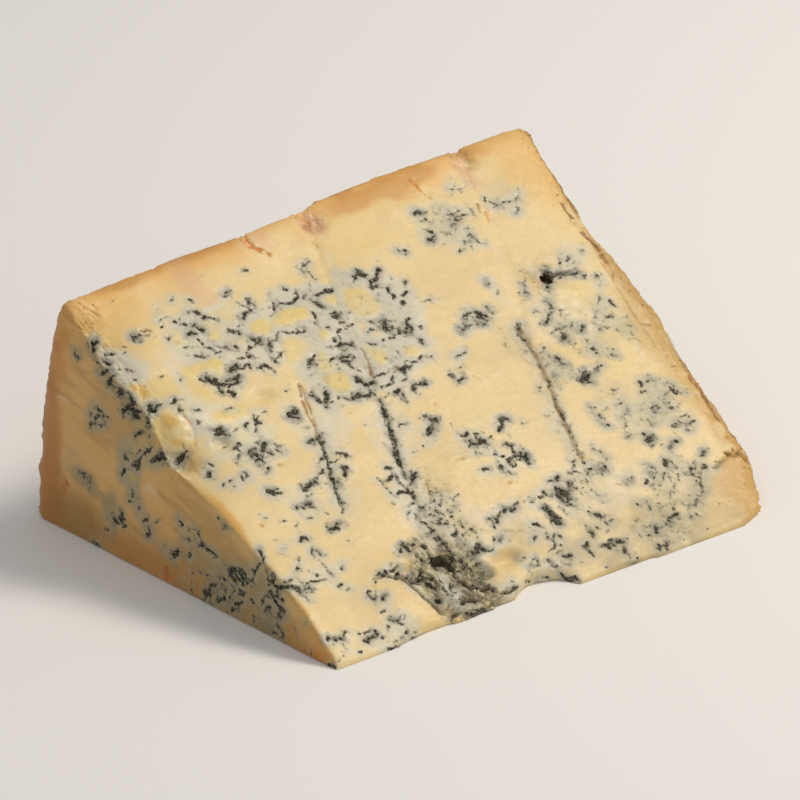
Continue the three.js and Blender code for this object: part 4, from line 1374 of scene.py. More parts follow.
ORANGE_LINES = read_strokes("""
# cracks in the crust, from the left
.25 .9  3 105  3.6 103.6  4.4 102.4  5.2 101.2  5.6 100.2
.2 .6  5.2 106.4  5.8 104.4  5.8 102
.35 1  50.2 109  50.4 107  50.4 105.2  51.5 104  53 102
.3 .8  48.8 108.4  49.4 106.2  49.6 105.2
.3 .8  66.5 106.6  66.6 105.4
.4 .5  70.6 111  69.4 107.6  68.6 105.6
.4 .5  66.8 109.6  67.4 107
.3 .8  97.6 110  98 107.5  98.4 105.5  98.8 103.5
.3 .7  109.4 96.2  109 94.8  108.6 93.8
.3 .4  112 108  111.4 104.6  110.5 100
# rusty marks in the paste
.25 .9  93 48.6  92.4 46.6  91.6 43.8  90.8 40.8
.12 .9  7.6 73.4  7.9 71.4  8 69.4  7.8 67.4  7 65.6  6.4 64.4  5.6 63.4  5 62.2
.4 .35  8.2 69  7.9 66.6  7 65
.5 .7  67.3 29.6  67.6 29.7
.5 .6  64 53.8  64.4 53.6
.3 .9  67.4 23.9  67.6 23.9
.25 .7  77.8 57.6  78.3 56.4
.3 .7  6 39.4  7 38.6
.3 .7  59.4 38.8  61.4 38.5
.2 .7  91 20.9  92 20.4
.25 .5  119.6 50.4  119.9 50.2
.35 .9  125.2 15.6  125 14.6
.35 .9  125 22.9  125.4 22.6
.5 .9  126.8 21  126.8 20
.4 .8  127.6 40.4  127.7 38  127.4 36.4
""")
PALE_GROOVES = read_strokes("""
.5 .8  66.5 98  65 94  63.6 89.4  62 83.9  60.5 79.9
.3 .5  110 103  109 98  107 92  105 86  103 80
.4 .4  102.6 79  100.6 73  98.4 67
.5 .5  46 38  44 33  42.6 28  43.5 21  44.6 16
.4 .5  41 82  39.4 76.4  38 70.6
.3 .8  123.4 62  122.4 58  121.6 54.6  119.4 47
.25 .5  117.4 10  117.6 5.4
.25 .5  118.4 10  118.6 5.6
.12 .9  116.9 10  119.1 6.5
.12 .9  118.3 7.7  117.8 2.6
""")

CREVICES = read_strokes("""
# in the hollow: the wide one, that the smooth floor comes up to
.35 1  38.1 16.2  39.8 16  40.2 14.2  40.5 12.2
.3 .9  40.5 12.2  41 10.6  42.3 9.2  43.1 8.4
# the edge of the smooth curd, and the star at its top
.2 .8  22.1 18.1  25.1 18.1
.35 .9  26.1 17.6  28.1 16.2  29.2 13.8  29.9 12.1
.25 .8  29.9 12.1  30.1 9.7  31.1 7  31 5.4
.8 1  30.3 14.6  31 14.2
.3 1  30.5 14.4  33.3 15.9  33.8 16.7
.3 1  30.5 14.4  32.3 13.6
.5 1  32.5 8.5  32.9 8.3
# between the flakes
.2 .7  38.8 20.5  37.8 17.7  38.4 16.9
.25 .7  41.6 17.5  42.5 15.7
.3 .7  35.5 20.3  35.9 18.1
.3 .8  43.8 7.5  46.2 7  46.9 5.2  48.7 4.3  51.3 4.8
.4 .7  38.9 7.3  39.8 5.8  41.3 5.6
.5 .7  32.9 3.3  34.2 3.6
.6 .8  36.8 1.8  39.7 1.9
# the broken corner of the crust
.35 .9  122.2 18.8  122.8 17.7  125.3 18.3  125.5 16.7  125.6 14.9
.2 .7  121.8 18.3  118.3 17.2  116.7 16.6
# the black hole by the right edge, and the crack from it
.9 1  110.8 75  111.6 74.2
.22 .95  111.6 74.6  113.2 74.9  116.2 75.2  118 75
# by the other needle tracks
.3 .6  71.6 20.2  71.6 17.2
.3 .6  77.4 22.8  77.4 20.8
""")

# %% [markdown]
# Patches. Under the rind the paste is not one smooth mass: a grey-white bloom fills the seams
# between curds, and the curds stay yellow in the middle. A few, at the edges, stand out bare
# and glossy. Further down, grey-green mould clouds the paste. A painted image could hold all
# that, but soft patches with wandering edges take few numbers and stay crisp close up. Each
# line is the middle of a patch, its half sizes along x and r, and its strength.

# %% Patches on the upper cut


def read_patches(text):
    """(middle, half sizes, strength) from each line. A line that starts with # is a note."""
    rows = [[float(word) for word in line.split("#")[0].split()] for line in text.splitlines()]
    return [(np.array(row[:2]), np.array(row[2:4]), row[4]) for row in rows if row]


VEIL_PATCHES = read_patches("""
# the pale lace under the rind
29 85  15 9  .95
51 85  11 8.5  .95
66 81  13 12.5  .95
55 70  16 10  .95
72 68  5 4  .6
3 86  5.5 5.5  .9
10 70  6 7  .7
13 76  4 9  .5
16 60  9 6  .7
36 60  8 9  .55
50 50  6 12  .4
# round the hollow
44 30  6 13  .7
52 22  13 6  .45
42 14  10 8  .7
23 40  9 8  .35
12 28  5 9  .25
# the right half
70 40  10 7  .3
90 38  4 12  .4
112 62  9 12  .4
111 36.5  10 7  .5
84 20  15 6.5  .5
106 17  7 6  .45
97 95  8 7  .45
114 97  6 4  .35
99 66  6 10  .3
88 71  6 3.5  .25
122 78  4 6  .4
# the front foot
20 4  5 4  .6
12 3  4.5 2.6  .4
""")
GREY_PATCHES = read_patches("""
# the right half, from the top
96 96  6 6  .5
118 97  4 3  .35
113 78  7 3.5  .5
93 60  3 7  .4
112 60  8 8  .5
120 58  3.5 4.5  .6
# the pale lace
28 84  13 7  .3
51 84  10 8  .35
66 81  11 11  .35
55 69  15 7  .4
72 86  3 5  .5
22 86  5 4  .35
66 91  4 2.5  .4
-3 76  3 9  .5
# lower right clouds
112.5 34.5  7 4  .65
106 41  4 5  .45
117 38  4 5  .55
88 31  2.2 6  .5
82 21  8 4.5  .5
106 16  8 6  .6
97 9  9 5  .6
70 40  7 5  .3
# round the hollow
49 34  4.5 5  .6
46 24  7 10  .8
41 13  8 7  .9
62 15  8 5  .35
# the front foot
20.5 4  4 2.6  .5
""")
GLOSSY_CURDS = read_patches("""
# three lobes of one curd by the left edge
4.2 70.2  2.4 2.6  1
3.6 67.4  2.8 2.6  1
2.6 64.8  2.8 2.6  1
# and a duller one by the right edge
112.6 65.6  4 6.4  .4
""")
YELLOW_CURDS = read_patches("""
# under the rind, from the left
18.7 89  1.6 2.2  .6
27.4 87.4  1.4 2.1  .7
31 90  5 2.6  .35
31.4 83.8  2.4 .9  .5
39.2 85.4  2.5 2  .8
47.1 85.6  4.6 2  .9
50.4 85.4  1.5 1.6  1
58.8 86.2  1.3 1.3  1
60.7 91.6  1.9 1.4  .5
65.3 83.3  3.3 4.4  .5
18.5 80  4.4 1.6  .8
23.2 79.2  1.6 1.8  1
15.6 75.5  1.4 3.8  .6
43.2 77.3  3.6 3  .5
51.6 78.8  1.2 1.4  1
61.3 77.7  .9 .9  .6
63.9 74.6  1.1 .8  .6
47 72.4  1.7 3  .6
34 70  3.5 5  .2
60 70  1.6 2.6  .8
68.2 68  1.7 1.6  .6
18.4 67  4.6 1.9  .9
46.8 65.9  2.7 2.7  .9
# by the left edge
2.5 79.6  2.6 2.2  .35
2 68  3.2 4.4  .8
8 78.5  3.6 3  .4
# the right half
117.5 68  2.8 4.8  .4
115 55  3 3  .3
112 48.6  4.4 3  .35
103.6 55.4  4.4 2.4  .3
76 98  5 3  .3
""")

# %% [markdown]
# Broad stains. The paste is not one colour: it is yellower near the crust and at the broken
# corners, where it has dried, and pinker where the crust was torn. Each line is a colour, then
# a patch as above. As a colour starts with #, a note starts with a semicolon here.

# %% Stains on the upper cut and on the left end


def read_stains(text):
    """(colour, middle, half sizes, strength) from each line."""
    rows = [line.split() for line in text.splitlines() if line.strip() and line.strip()[0] != ";"]
    return [(row[0], *read_patches(" ".join(row[1:]))[0]) for row in rows]


UPPER_STAINS = read_stains("""
; golden corners and the dried right edge
#e6b968  6 98  10 11  .45
#e6b46a  2 103  5 6  .5
#e7bd72  128 104  7 11  .7
#d3b16c  128 40  6 18  .7
#cba05a  127 24  4.5 9  .8
#d2ac68  121 4  9 13  .85
#c29450  124.6 5  4 7  .7
#d0ae6c  126 55  3.6 12  .7
#bb9252  129.4 70  1.8 16  .7
#e9d3a2  130.4 87  .8 5  .7
#e9d3a2  130.2 79  .6 3  .7
#e8d29c  124.4 25.4  1 1.6  .9
#e8d29c  123.7 20.4  1.2 1.2  .9
; the right half is a shade deeper
#dcc189  100 60  26 40  .22
; browner stretches of the band under the crust
#cf9650  117 111.6  5 1.8  .4
#cc9049  101 110.8  5 2.2  .6
#cf9650  91 109  7 3  .6
#cc9049  79 109  7 2.6  .6
#cf9650  37 109  9 2.4  .5
#cc9049  16 108  8 2.6  .6
; grey-green beside the needle tracks
#9ca192  33.2 52.4  1.5 3.4  .7
#9ca192  30.8 47  1.7 3.4  .6
#a9aa98  44.6 31  3 4  .5
; the smooth floor of the hollow
#a5a58f  38.3 12  2 3.4  .85
#7f8073  35.9 6.4  2.1 2.8  .85
; pink where the crust was torn
#dba584  68 107  2.6 4  .7
#e2b493  52 107  4 3.5  .5
#dfb592  112 108  2 5  .6
#dcb08c  31 101  3 9  .45
#e3b78e  97.5 64.5  2.2 3  .5
#d8a678  95.5 57.5  1.6 5  .4
; glow along the left edge
#dfa650  -.5 40  2.4 11  .8
#dca24c  -.5 16  2.4 5  .8
#e3b04c  2 79.4  1.5 2.4  .9
#d2a35c  2.1 58  2.6 1.9  .6
; the grey lumps in the hollow
#87866c  45.6 26  1.6 3  .5
""")
END_STAINS = read_stains("""
; the end browns towards the rind and the floor
#b0742f  99 8  6 12  .9
#b57632  97.4 26  4 15  .8
#c98a40  94 45  4 8  .8
#d0a05a  90 52  7 5  .5
#a8834a  72 34  9 8  .5
#b0763a  62 2  24 4  .45
#8c6a35  88 4  9 6  .5
#c98f45  12 3  9 5  .6
#c07a34  8 .6  6 2  .7
; grey-green clouds, most of them drawn out along the way the paste flowed
#7d7357  37 6  6 5  .8
#857c5e  22 6  4.5 7  .8
#8a7f60  29 10  5 4  .5
#9d9479  70 24  3.4 6  .75
#a1967a  68.4 19  2.4 4  .7
#a1967a  66.4 14.4  2.4 3.4  .7
#9d9174  62.6 9.6  2.8 2.4  .7
#978b6d  57.4 7  3 2  .65
#8f8568  76 9.4  2.6 5  .7
#87795a  85.4 14.4  4 2.4  .7
#8d7d5c  81 12.2  3.4 1.4  .5
#9a8f74  80 31  4 3.4  .65
#8f8058  47 11  6 4  .5
; orange spots
#a5521c  91.7 11.4  .5 .9  1
#b9652c  92.5 9.8  .5 1.1  .9
#a5521c  57.4 2.5  .5 .7  1
#b9652c  56.6 1  .5 1  .9
#bb7236  93.6 42.6  1.1 1.7  .7
; yellow curd in the clouds
#c9a958  68.8 21.4  1.4 1.2  .8
; a pale flake, and the pale curl by the rind
#dcc294  61.8 19.6  2.6 1.3  .8
#dcb98a  91 31.2  2.6 .6  .8
""")
print("lines:", sum(map(len, (BROWN_LINES, ORANGE_LINES, PALE_GROOVES, CREVICES))))
print("patches:", sum(map(len, (VEIL_PATCHES, GREY_PATCHES, GLOSSY_CURDS, YELLOW_CURDS))))
print("stains:", len(UPPER_STAINS) + len(END_STAINS))

# %% [markdown]
# The wedge's skin. The solid's surface net has steps of 3 to 5 mm, too coarse for crumbs and
# cracks. A copy of it is merged into one mesh, cut into an even grid by a voxel remesh, and
# smoothed so that the steps melt away. The flat underside is then thinned, and later the skin
# is made twice as fine where mould grows, so that the piece stays light enough to use.

# %% A fine even skin
SKIN_STEP = 0.84        # mm
SMOOTHING_ROUNDS = 4

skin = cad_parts[CAD_NODE].copy()
skin.data = skin.data.copy()
skin.name = "cheese_skin"
bpy.context.scene.collection.objects.link(skin)
skin.parent = None
skin.data.materials.clear()

merged = bmesh.new()
merged.from_mesh(skin.data)
bmesh.ops.remove_doubles(merged, verts=merged.verts, dist=1e-6)
merged.to_mesh(skin.data)
merged.free()


def apply_modifier(obj, kind, **settings):
    """Adds one modifier, and turns the result into the object's own mesh."""
    modifier = obj.modifiers.new(kind.lower(), kind)
    for name, value in settings.items():
        setattr(modifier, name, value)
    evaluated = obj.evaluated_get(bpy.context.evaluated_depsgraph_get())
    mesh = bpy.data.meshes.new_from_object(evaluated)
    obj.modifiers.clear()
    obj.data = mesh


def read(mesh, what, width=3):
    """A per-point array of a mesh as rows of numbers."""
    values = np.empty(len(mesh.vertices) * width, np.float32)
    mesh.vertices.foreach_get(what, values)
    return values.reshape(-1, width).astype(float)


def triangles(mesh):
    """How many triangles a mesh has."""
    mesh.calc_loop_triangles()
    return len(mesh.loop_triangles)


apply_modifier(skin, "REMESH", mode="VOXEL", voxel_size=SKIN_STEP * MM)
apply_modifier(skin, "SMOOTH", factor=0.5, iterations=SMOOTHING_ROUNDS)
print("even skin:", len(skin.data.vertices), "points,", triangles(skin.data), "triangles")

# %% Thin the underside
FACES_KEPT = 0.79      # share of all faces, which leaves about one in four underneath
underside = skin.vertex_groups.new(name="underside")
facing_down = np.flatnonzero(read(skin.data, "normal")[:, 2] < -0.95)
underside.add(facing_down.tolist(), 1.0, "REPLACE")
apply_modifier(
    skin, "DECIMATE", decimate_type="COLLAPSE", ratio=FACES_KEPT,
    vertex_group="underside", vertex_group_factor=1.0,
)
skin.vertex_groups.clear()
print("thinned skin:", triangles(skin.data), "triangles")

# %% [markdown]
# Veins that nobody drew. The wedge's underside is the third cut face. Its mould is grown by a
# small rule with a fixed seed: clusters of short crooked strokes, denser towards the rind, as
# on the faces in sight.

# %% Grow strokes for the underside
SHORT_STEP = 1.3        # mm between the bends of a stroke


def grow_strokes(clusters, seed):
    """Clusters of crooked strokes on a cut face, as half width, strength and places."""
    chance = np.random.default_rng(seed)
    strokes = []
    for _ in range(clusters):
        middle = np.array([chance.uniform(6, 120), 104 * math.sqrt(chance.uniform(0.02, 0.9))])
        grain = chance.uniform(0, math.pi)
        for _ in range(chance.integers(4, 12)):
            heading = grain + chance.normal(0, 0.6)
            place = middle + chance.normal(0, 5, 2)
            line = [place]
            for _ in range(chance.integers(2, 7)):
                heading += chance.normal(0, 0.5)
                place = place + SHORT_STEP * np.array([math.cos(heading), math.sin(heading)])
                line.append(place)
            strokes.append((chance.uniform(0.3, 0.9), chance.uniform(0.6, 1.0), np.array(line)))
    return strokes


UNDER_STROKES = grow_strokes(clusters=34, seed=5)
print("strokes on the underside:", len(UNDER_STROKES))

# %% [markdown]
# From strokes to places on the skin. Mould grows as sheets through the cheese, so where the
# skin stands off the plane of the cut, a stroke is followed along one slant down to it. The
# slant points at the camera, so that a vein is seen where it was drawn on lumps and in dips
# too. Each point of the skin is slid along it on to the plane of the upper cut and on to the
# plane of the left end, and is measured there.

# %% Places on the cut planes
VEIN_SLANT = towards_camera      # the way that the sheets of mould run through the cheese
SHEET_DEPTH = 9.0                # mm off the plane of a cut that its strokes are followed
CRUMPLED = 0.25                  # about how many mm a stroke wanders to either side


def places_on(points):
    """(x, r) on the upper cut, depth under it, and (y, z) on the left end, for rows of points."""
    angle = sector_at(points[:, 0])
    upward = np.stack([0 * angle, -np.sin(angle), np.cos(angle)], 1)
    from_tip = points - np.stack([0 * angle, tip_y(points[:, 0]), 0 * angle], 1)
    depth = -(from_tip * upward).sum(1)
    slid = points + (depth / (upward @ VEIN_SLANT))[:, None] * VEIN_SLANT
    on_upper = np.stack([slid[:, 0], np.hypot(slid[:, 1] - tip_y(slid[:, 0]), slid[:, 2])], 1)
    on_end = (points - (points[:, 0] / VEIN_SLANT[0])[:, None] * VEIN_SLANT)[:, 1:]
    return on_upper, depth, on_end


def distance_to_line(flat, line):
    """Distance from each row of `flat` to a chain of points."""
    best = np.full(len(flat), np.inf)
    for start, end in zip(line[:-1], line[1:]):
        step = end - start
        t = np.clip((flat - start) @ step / (step @ step), 0, 1)
        gap = flat - (start + t[:, None] * step)
        best = np.minimum(best, np.hypot(gap[:, 0], gap[:, 1]))
    return best


def along_strokes(flat, depth, strokes, reach):
    """For each stroke: which points lie within its reach, and how far they are from its line."""
    near = np.flatnonzero(np.abs(depth) < SHEET_DEPTH)
    spots = flat[near]
    for half_width, strength, line in strokes:
        within = (spots > line.min(0) - reach) & (spots < line.max(0) + reach)
        inside = np.flatnonzero(np.all(within, axis=1))
        yield near[inside], distance_to_line(spots[inside], line), half_width, strength


def crumple(points):
    """Small shifts that keep a stroke from running straight."""
    return CRUMPLED * np.stack([rough(points, 1.6, s, 2) for s in (14, 15)], 1)


print("slant of the veins:", VEIN_SLANT.round(2))

# %% Make the skin twice as fine along the strokes
FINE_MARGIN = 0.45      # mm beside a stroke
FINE_DEPTH = 6.0        # mm off the plane of its cut
CRUMBLY_BOXES = [       # low and high corners in x and r
    ((28, -3), (44, 27)),       # the hollow
    ((-3, 55), (6, 104)),       # the broken left edge
    ((124, 8), (136, 100)),     # the dry right edge
    ((64, 103), (72, 114)),     # the torn crust
]
corners = read(skin.data, "co") / MM - TIP_CORNER
on_upper, depth, on_end = places_on(corners)
shift = crumple(corners)
fine = np.zeros(len(corners), bool)
for flat, off_plane, strokes in [
    (on_upper + shift, depth, UPPER_STROKES + BROWN_LINES + ORANGE_LINES + CREVICES),
    (on_end + shift, corners[:, 0], END_STROKES),
    (corners[:, :2], corners[:, 2], UNDER_STROKES),
]:
    for where, gap, half_width, strength in along_strokes(flat, off_plane, strokes, 4):
        close = (gap < half_width + FINE_MARGIN) & (np.abs(off_plane[where]) < FINE_DEPTH)
        fine[where[close]] = True
for low_corner, high_corner in CRUMBLY_BOXES:
    in_box = np.all((on_upper > low_corner) & (on_upper < high_corner), axis=1)
    fine |= in_box & (np.abs(depth) < FINE_DEPTH)

refined = bmesh.new()
refined.from_mesh(skin.data)
refined.verts.ensure_lookup_table()
edges = {edge for index in np.flatnonzero(fine) for edge in refined.verts[index].link_edges}
bmesh.ops.subdivide_edges(refined, edges=list(edges), cuts=1, use_grid_fill=True)
bmesh.ops.triangulate(refined, faces=refined.faces)
refined.to_mesh(skin.data)
refined.free()
apply_modifier(skin, "SMOOTH", factor=0.5, iterations=2)
print("refined skin:", triangles(skin.data), "triangles")

# %% Where each point of the skin lies on the wheel
points = read(skin.data, "co") / MM - TIP_CORNER
normals = read(skin.data, "normal")
upper_flat, under_upper, end_flat = places_on(points)
along = points[:, 0]
distance = np.hypot(points[:, 1] - tip_y(along), points[:, 2])
print("deepest point under the upper cut, mm:", under_upper.max().round(1))

# %% [markdown]
# Which side is which. A point belongs to the rind, the wheel's flat side, or a cut face by
# the way that the smooth skin faces there. Distances from the crusted sides, measured through
# the cheese, later set how tan and dry the paste is: real paste browns for several
# millimetres under its crust.

# %% Crusted sides and distance from them
on_rind = (normals[:, 1] > 0.6) & (distance > 90)
on_flat_side = (normals[:, 0] > 0.6) & (along > 105)


def distance_to(chosen):
    """Distance in mm from every point to the nearest of the chosen points. Every second one of
    them is close enough for that."""
    places = points[chosen][::2]
    tree = KDTree(len(places))
    for index, place in enumerate(places):
        tree.insert(place, index)
    tree.balance()
    distances = np.array([tree.find(place)[2] for place in points])
    distances[chosen] = 0
    return distances


from_rind = distance_to(on_rind)
from_flat_side = distance_to(on_flat_side)
crust = np.maximum(ease(from_rind, 1.0, 0.1), ease(from_flat_side, 1.0, 0.1))
upper_cut = ease(under_upper, 6, 2) * (1 - crust)
left_end = ease(-normals[:, 0], 0.35, 0.75) * ease(along, 9, 4)
print("rind points:", int(on_rind.sum()), " flat side points:", int(on_flat_side.sum()))

# %% [markdown]
# From strokes to fields. Each point of the skin gets a number from 0 to 1, `mould`, that is
# highest along a stroke and falls off beside it, and `halo`, which reaches further. The
# shader later breaks these soft fields up into crisp specks.

# %% Paint the mould
EDGE_SOFTNESS = 0.70             # mm over which a stroke fades
HALO_REACH = 1.8                 # mm of paled paste round a stroke
rightwards = ease(along, 75, 95)

# A stroke is thick and thin along its way, and finer towards the right
swell = np.clip(0.85 + 0.6 * bumps(points, 2.2, 17), 0.35, 1.35)
swell *= 1 - 0.2 * rightwards


def paint(flat, depth, strokes, ink, halo=None):
    """Adds strokes to a field, and their surroundings to another."""
    for where, gap, half_width, strength in along_strokes(flat, depth, strokes, 6):
        strength = strength * ease(np.abs(depth[where]), 7, 3)
        gap = gap - half_width * swell[where]
        core = strength * np.clip(0.5 - gap / EDGE_SOFTNESS, 0, 1)
        ink[where] = np.maximum(ink[where], core)
        if halo is not None:
            fall = np.exp(-(np.maximum(gap, 0) / HALO_REACH) ** 2)
            wide = strength * min(1, 0.45 + half_width) * fall
            halo[where] = np.maximum(halo[where], wide)


shift = crumple(points)
mould, halo, brown, orange, beside_orange, groove, crevice = (
    np.zeros(len(points)) for _ in range(7)
)
paint(upper_flat + shift, under_upper, UPPER_STROKES, mould, halo)
paint(end_flat + shift, along, END_STROKES, mould, halo)
paint(points[:, :2] + shift, points[:, 2], UNDER_STROKES, mould, halo)
paint(upper_flat + shift, under_upper, BROWN_LINES, brown)
paint(upper_flat + 1.6 * shift, under_upper, ORANGE_LINES, orange, beside_orange)
paint(upper_flat + 1.4 * shift, under_upper, CREVICES, crevice)
paint(upper_flat + shift, under_upper, PALE_GROOVES, groove)
mould *= (1 - crust) * (1 - 0.15 * rightwards) * (1 + 0.15 * left_end)
halo *= 1 - crust
print("points in mould:", int((mould > 0.5).sum()))

# %% Paint the patches
HOLLOW = (39.5, 10.5), (8.5, 11.5)           # middle and half sizes in x and r
SMOOTH_FLOOR = (37.2, 9), (2.4, 6)           # of the hollow
TORN_CRUST = [((68, 108), (3.4, 4.4)), ((113.6, 111), (3.4, 3.4))]

# Small shifts make the patches' edges wander
ragged = np.stack([rough(points, 5, s, 3) for s in (24, 25)], 1)


def patch(flat, centre, halves, edge, squareness=2.0):
    """One soft ellipse, or a rounded box where squareness is above 2."""
    away = np.abs((flat - centre) / halves) ** squareness
    return ease((1 - away.sum(1) ** (1 / squareness)) * min(halves), -edge, edge)


def patches(flat, rows, edge, wander=0.7, squareness=2.0):
    """The strongest of a list of patches at each point of the skin."""
    field = np.zeros(len(points))
    for centre, halves, strength in rows:
        soft = patch(flat + wander * ragged, centre, halves, edge, squareness)
        field = np.maximum(field, strength * soft)
    return field


curds = patches(upper_flat + 0.5 * ragged, GLOSSY_CURDS, 1.3, 0.7) * upper_cut
yolk = patches(upper_flat, YELLOW_CURDS, 0.6, 0.6, 3.2) * upper_cut
grey = patches(upper_flat, GREY_PATCHES, 2.4, 2.0) * upper_cut
veil = np.maximum(0.6 * halo, patches(upper_flat, VEIL_PATCHES, 1.8, 1.6) * upper_cut)
veil = np.maximum(veil * (1 - 1.1 * np.minimum(yolk, 0.9)), 0.8 * groove)
hollow = patch(upper_flat + ragged, *HOLLOW, 3) * upper_cut
smooth_floor = patch(upper_flat + 0.6 * ragged, *SMOOTH_FLOOR, 0.8)
spores = np.maximum.reduce([grey, 0.78 * hollow, 0.7 * halo]) * (1 - curds)
mould = np.maximum(mould, spores * (0.30 + 0.22 * rough(points, 3, 28, 2)))
broken_edge = (
    ease(along, 7, 2) * ease(distance, 52, 62) * ease(distance, 108, 98)
    * ease(under_upper, 9, 4) * (1 - crust)
)
torn = np.maximum.reduce([patch(upper_flat + ragged, *place, 1) for place in TORN_CRUST])
print("veiled points:", int((veil > 0.5).sum()), " yellow points:", int((yolk > 0.4).sum()))

# %% [markdown]
# Relief. Mould sits in crumbly pits, tracks are shallow grooves, curds stand a little proud,
# the knife left long shallow streaks, and the crust is dry, flaking and pitted. It could be
# sculpted, or left to a bump map, but the fields that colour the skin move it too, so each pit
# lies under its own mould and the outline is rough as well. Everything moves along the skin's
# own normals, and nothing leaves the solid's box.

# %% Relief in mm
MOULD_PIT = 0.30
CREVICE_DEPTH = 1.2
BROWN_CRACK = 0.25
ORANGE_CRACK = 0.3
ORANGE_LIP = 0.22
TRACK_GROOVE = 0.12
CURD_RISE = 0.6
FLAKE_HEIGHT = 0.55
FLAKE_CRACK = 0.4
BIG_FLAKE = 3.2        # across
SMALL_FLAKE = 1.3


def terraces(height, rise):
    """Turns a smooth height into steps `rise` mm high, as flakes lie over each other."""
    steps = height / rise
    return rise * (np.floor(steps) + ease(steps - np.floor(steps), 0.3, 0.7))


# Broken places fall into flakes, big and small, that lie along the tracks, with cracks between
dry_edge = ease(from_flat_side, 5.5, 2.5) * upper_cut
crumbly = np.maximum.reduce([hollow, 0.7 * broken_edge * (1 - curds), 0.5 * torn, 0.4 * dry_edge])
loose = np.flatnonzero(crumbly > 0.02)
crumb_height, crack = np.zeros(len(points)), np.full(len(points), 9.0)
flake_place = np.stack([upper_flat @ (1, 0.2), upper_flat @ (0, 0.4), under_upper], 1)[loose]
flake_place += 0.45 * np.stack([rough(points[loose], 2.4, s, 2) for s in (34, 35, 36)], 1)
big_height, big_crack = crumble(flake_place, BIG_FLAKE, 31)
small_height, small_crack = crumble(flake_place, SMALL_FLAKE, 32)
crumb_height[loose] = 0.65 * big_height + 0.35 * small_height
crack[loose] = np.minimum(big_crack, 1.8 * small_crack)
crack = ease(crack, 0.36, 0.06) * ease(rough(points, 3, 33, 2), -0.35, 0.15)

# Mould, curds, tracks and cracks
pitted = (1 + 0.8 * rough(points, 1.3, 41, 2)) * (1 + broken_edge)
lift = -MOULD_PIT * ease(mould, 0.2, 0.9) * pitted
dome = CURD_RISE + 0.3 * bumps(points, 4, 49) + 0.14 * bumps(points, 1.4, 52)
lift += 0.10 * yolk + curds * dome
lift -= TRACK_GROOVE * groove + BROWN_CRACK * brown + ORANGE_CRACK * orange
lift += ORANGE_LIP * beside_orange * (1 - orange) * (1 + rough(points, 1.6, 66, 2))
lift -= CREVICE_DEPTH * crevice * upper_cut

# The hollow, the broken edges and the torn crust
lift += crumbly * (1 - 0.8 * smooth_floor) * (FLAKE_HEIGHT * crumb_height - FLAKE_CRACK * crack)
lift += hollow * (0.6 * rough(points, 5, 61, 2) - 0.3 - 0.5 * smooth_floor)
lift += 0.5 * broken_edge * terraces(rough(points, 6.5, 64, 3), 0.35) - 0.4 * torn
lift += dry_edge * 0.35 * terraces(rough(points * (1.4, 0.5, 0.5), 4, 71, 3), 0.3)

# Soft swell of the paste, and long streaks from the knife
streak_place = points @ np.array([[0.06, 0.7, 0.7], [0.02, 0.5, -0.6], [0.9, 0.3, -0.2]]).T
lift += (1 - crust) * (0.05 * rough(points, 7, 44) + 0.035 * bumps(streak_place, 1.3, 47))
lift += 0.07 * left_end * rough(streak_place, 2.6, 45, 3)

# The crust: scales, pits, grain and long cracks
crust_lift = 0.5 * terraces(rough(points, 9, 51, 4), 0.35)
crust_lift -= 0.8 * ease(bumps(points, 3.2, 56), 0.3, 0.75)
crust_lift += 0.22 * rough(points, 2.4, 58, 2)
crust_lift -= 0.5 * ease(-np.abs(rough(points, 15, 59, 3)), -0.05, 0)
lift += crust * (crust_lift - 0.1)

# The underside lies flat, so it moves least
above_floor = ease(points[:, 2], 0.05, 0.8)
lift *= np.where(normals[:, 2] < -0.9, 0.25, 1) * np.maximum(above_floor, 0.25)

moved = points + normals * lift[:, None]
low = np.array(cad_box[0]) / MM - TIP_CORNER
high = np.array(cad_box[1]) / MM - TIP_CORNER
moved = np.clip(moved, low, high)
skin.data.vertices.foreach_set("co", ((moved + TIP_CORNER) * MM).astype(np.float32).ravel())
skin.data.update()
print("relief in mm, lowest and highest:", lift.min().round(2), lift.max().round(2))

# %% [markdown]
# The slow colours of the cheese. Cream in the heart, yellower and then tan towards the crust,
# grey-white where the mould has spread its bloom, brown on the left end, partly as painted warm
# shade. They are mixed here once for each point, from the fields, and kept on the skin. The
# material adds what is finer than a millimetre.

# %% Mix the paste's colour
cloud = np.clip(0.5 + 0.6 * rough(points, 24, 81, 2), 0, 1)
mottle = rough(points, 4, 84, 3)
colour = np.tile(swatch("#ecd092"), (len(points), 1))


def cover(hex_colour, share):
    """Lays a colour over the paste, by a share from 0 to 1 for each point."""
    colour[:] += np.clip(share, 0, 1)[:, None] * (swatch(hex_colour) - colour)


# Fresh paste
cover("#f2dca8", 0.7 * cloud)
cover("#d9bd86", 0.16 * ease(mottle, 0, 0.8))

# Under the crust the paste browns, more in some places than in others
rind_tan = np.exp(-from_rind / 5.0) * (1 + 0.5 * rough(points, 9, 87))
rind_tan += 0.08 * mottle * ease(from_rind, 14, 4)
cover("#ecbe76", ease(rind_tan, 0.06, 0.5))
cover("#cd9048", 0.85 * ease(rind_tan, 0.45, 1.05))
side_tan = np.exp(-from_flat_side / 3.2) * (1 + 0.4 * rough(points, 7, 88))
cover("#d5ae68", 0.85 * ease(side_tan, 0.08, 0.8))
cover("#b88a48", 0.6 * ease(side_tan, 0.55, 1.0))
for hex_colour, centre, halves, strength in UPPER_STAINS:
    stain = patch(upper_flat + 1.2 * ragged, centre, halves, 0.45 * min(halves))
    cover(hex_colour, strength * upper_cut * (1 - left_end) * stain)
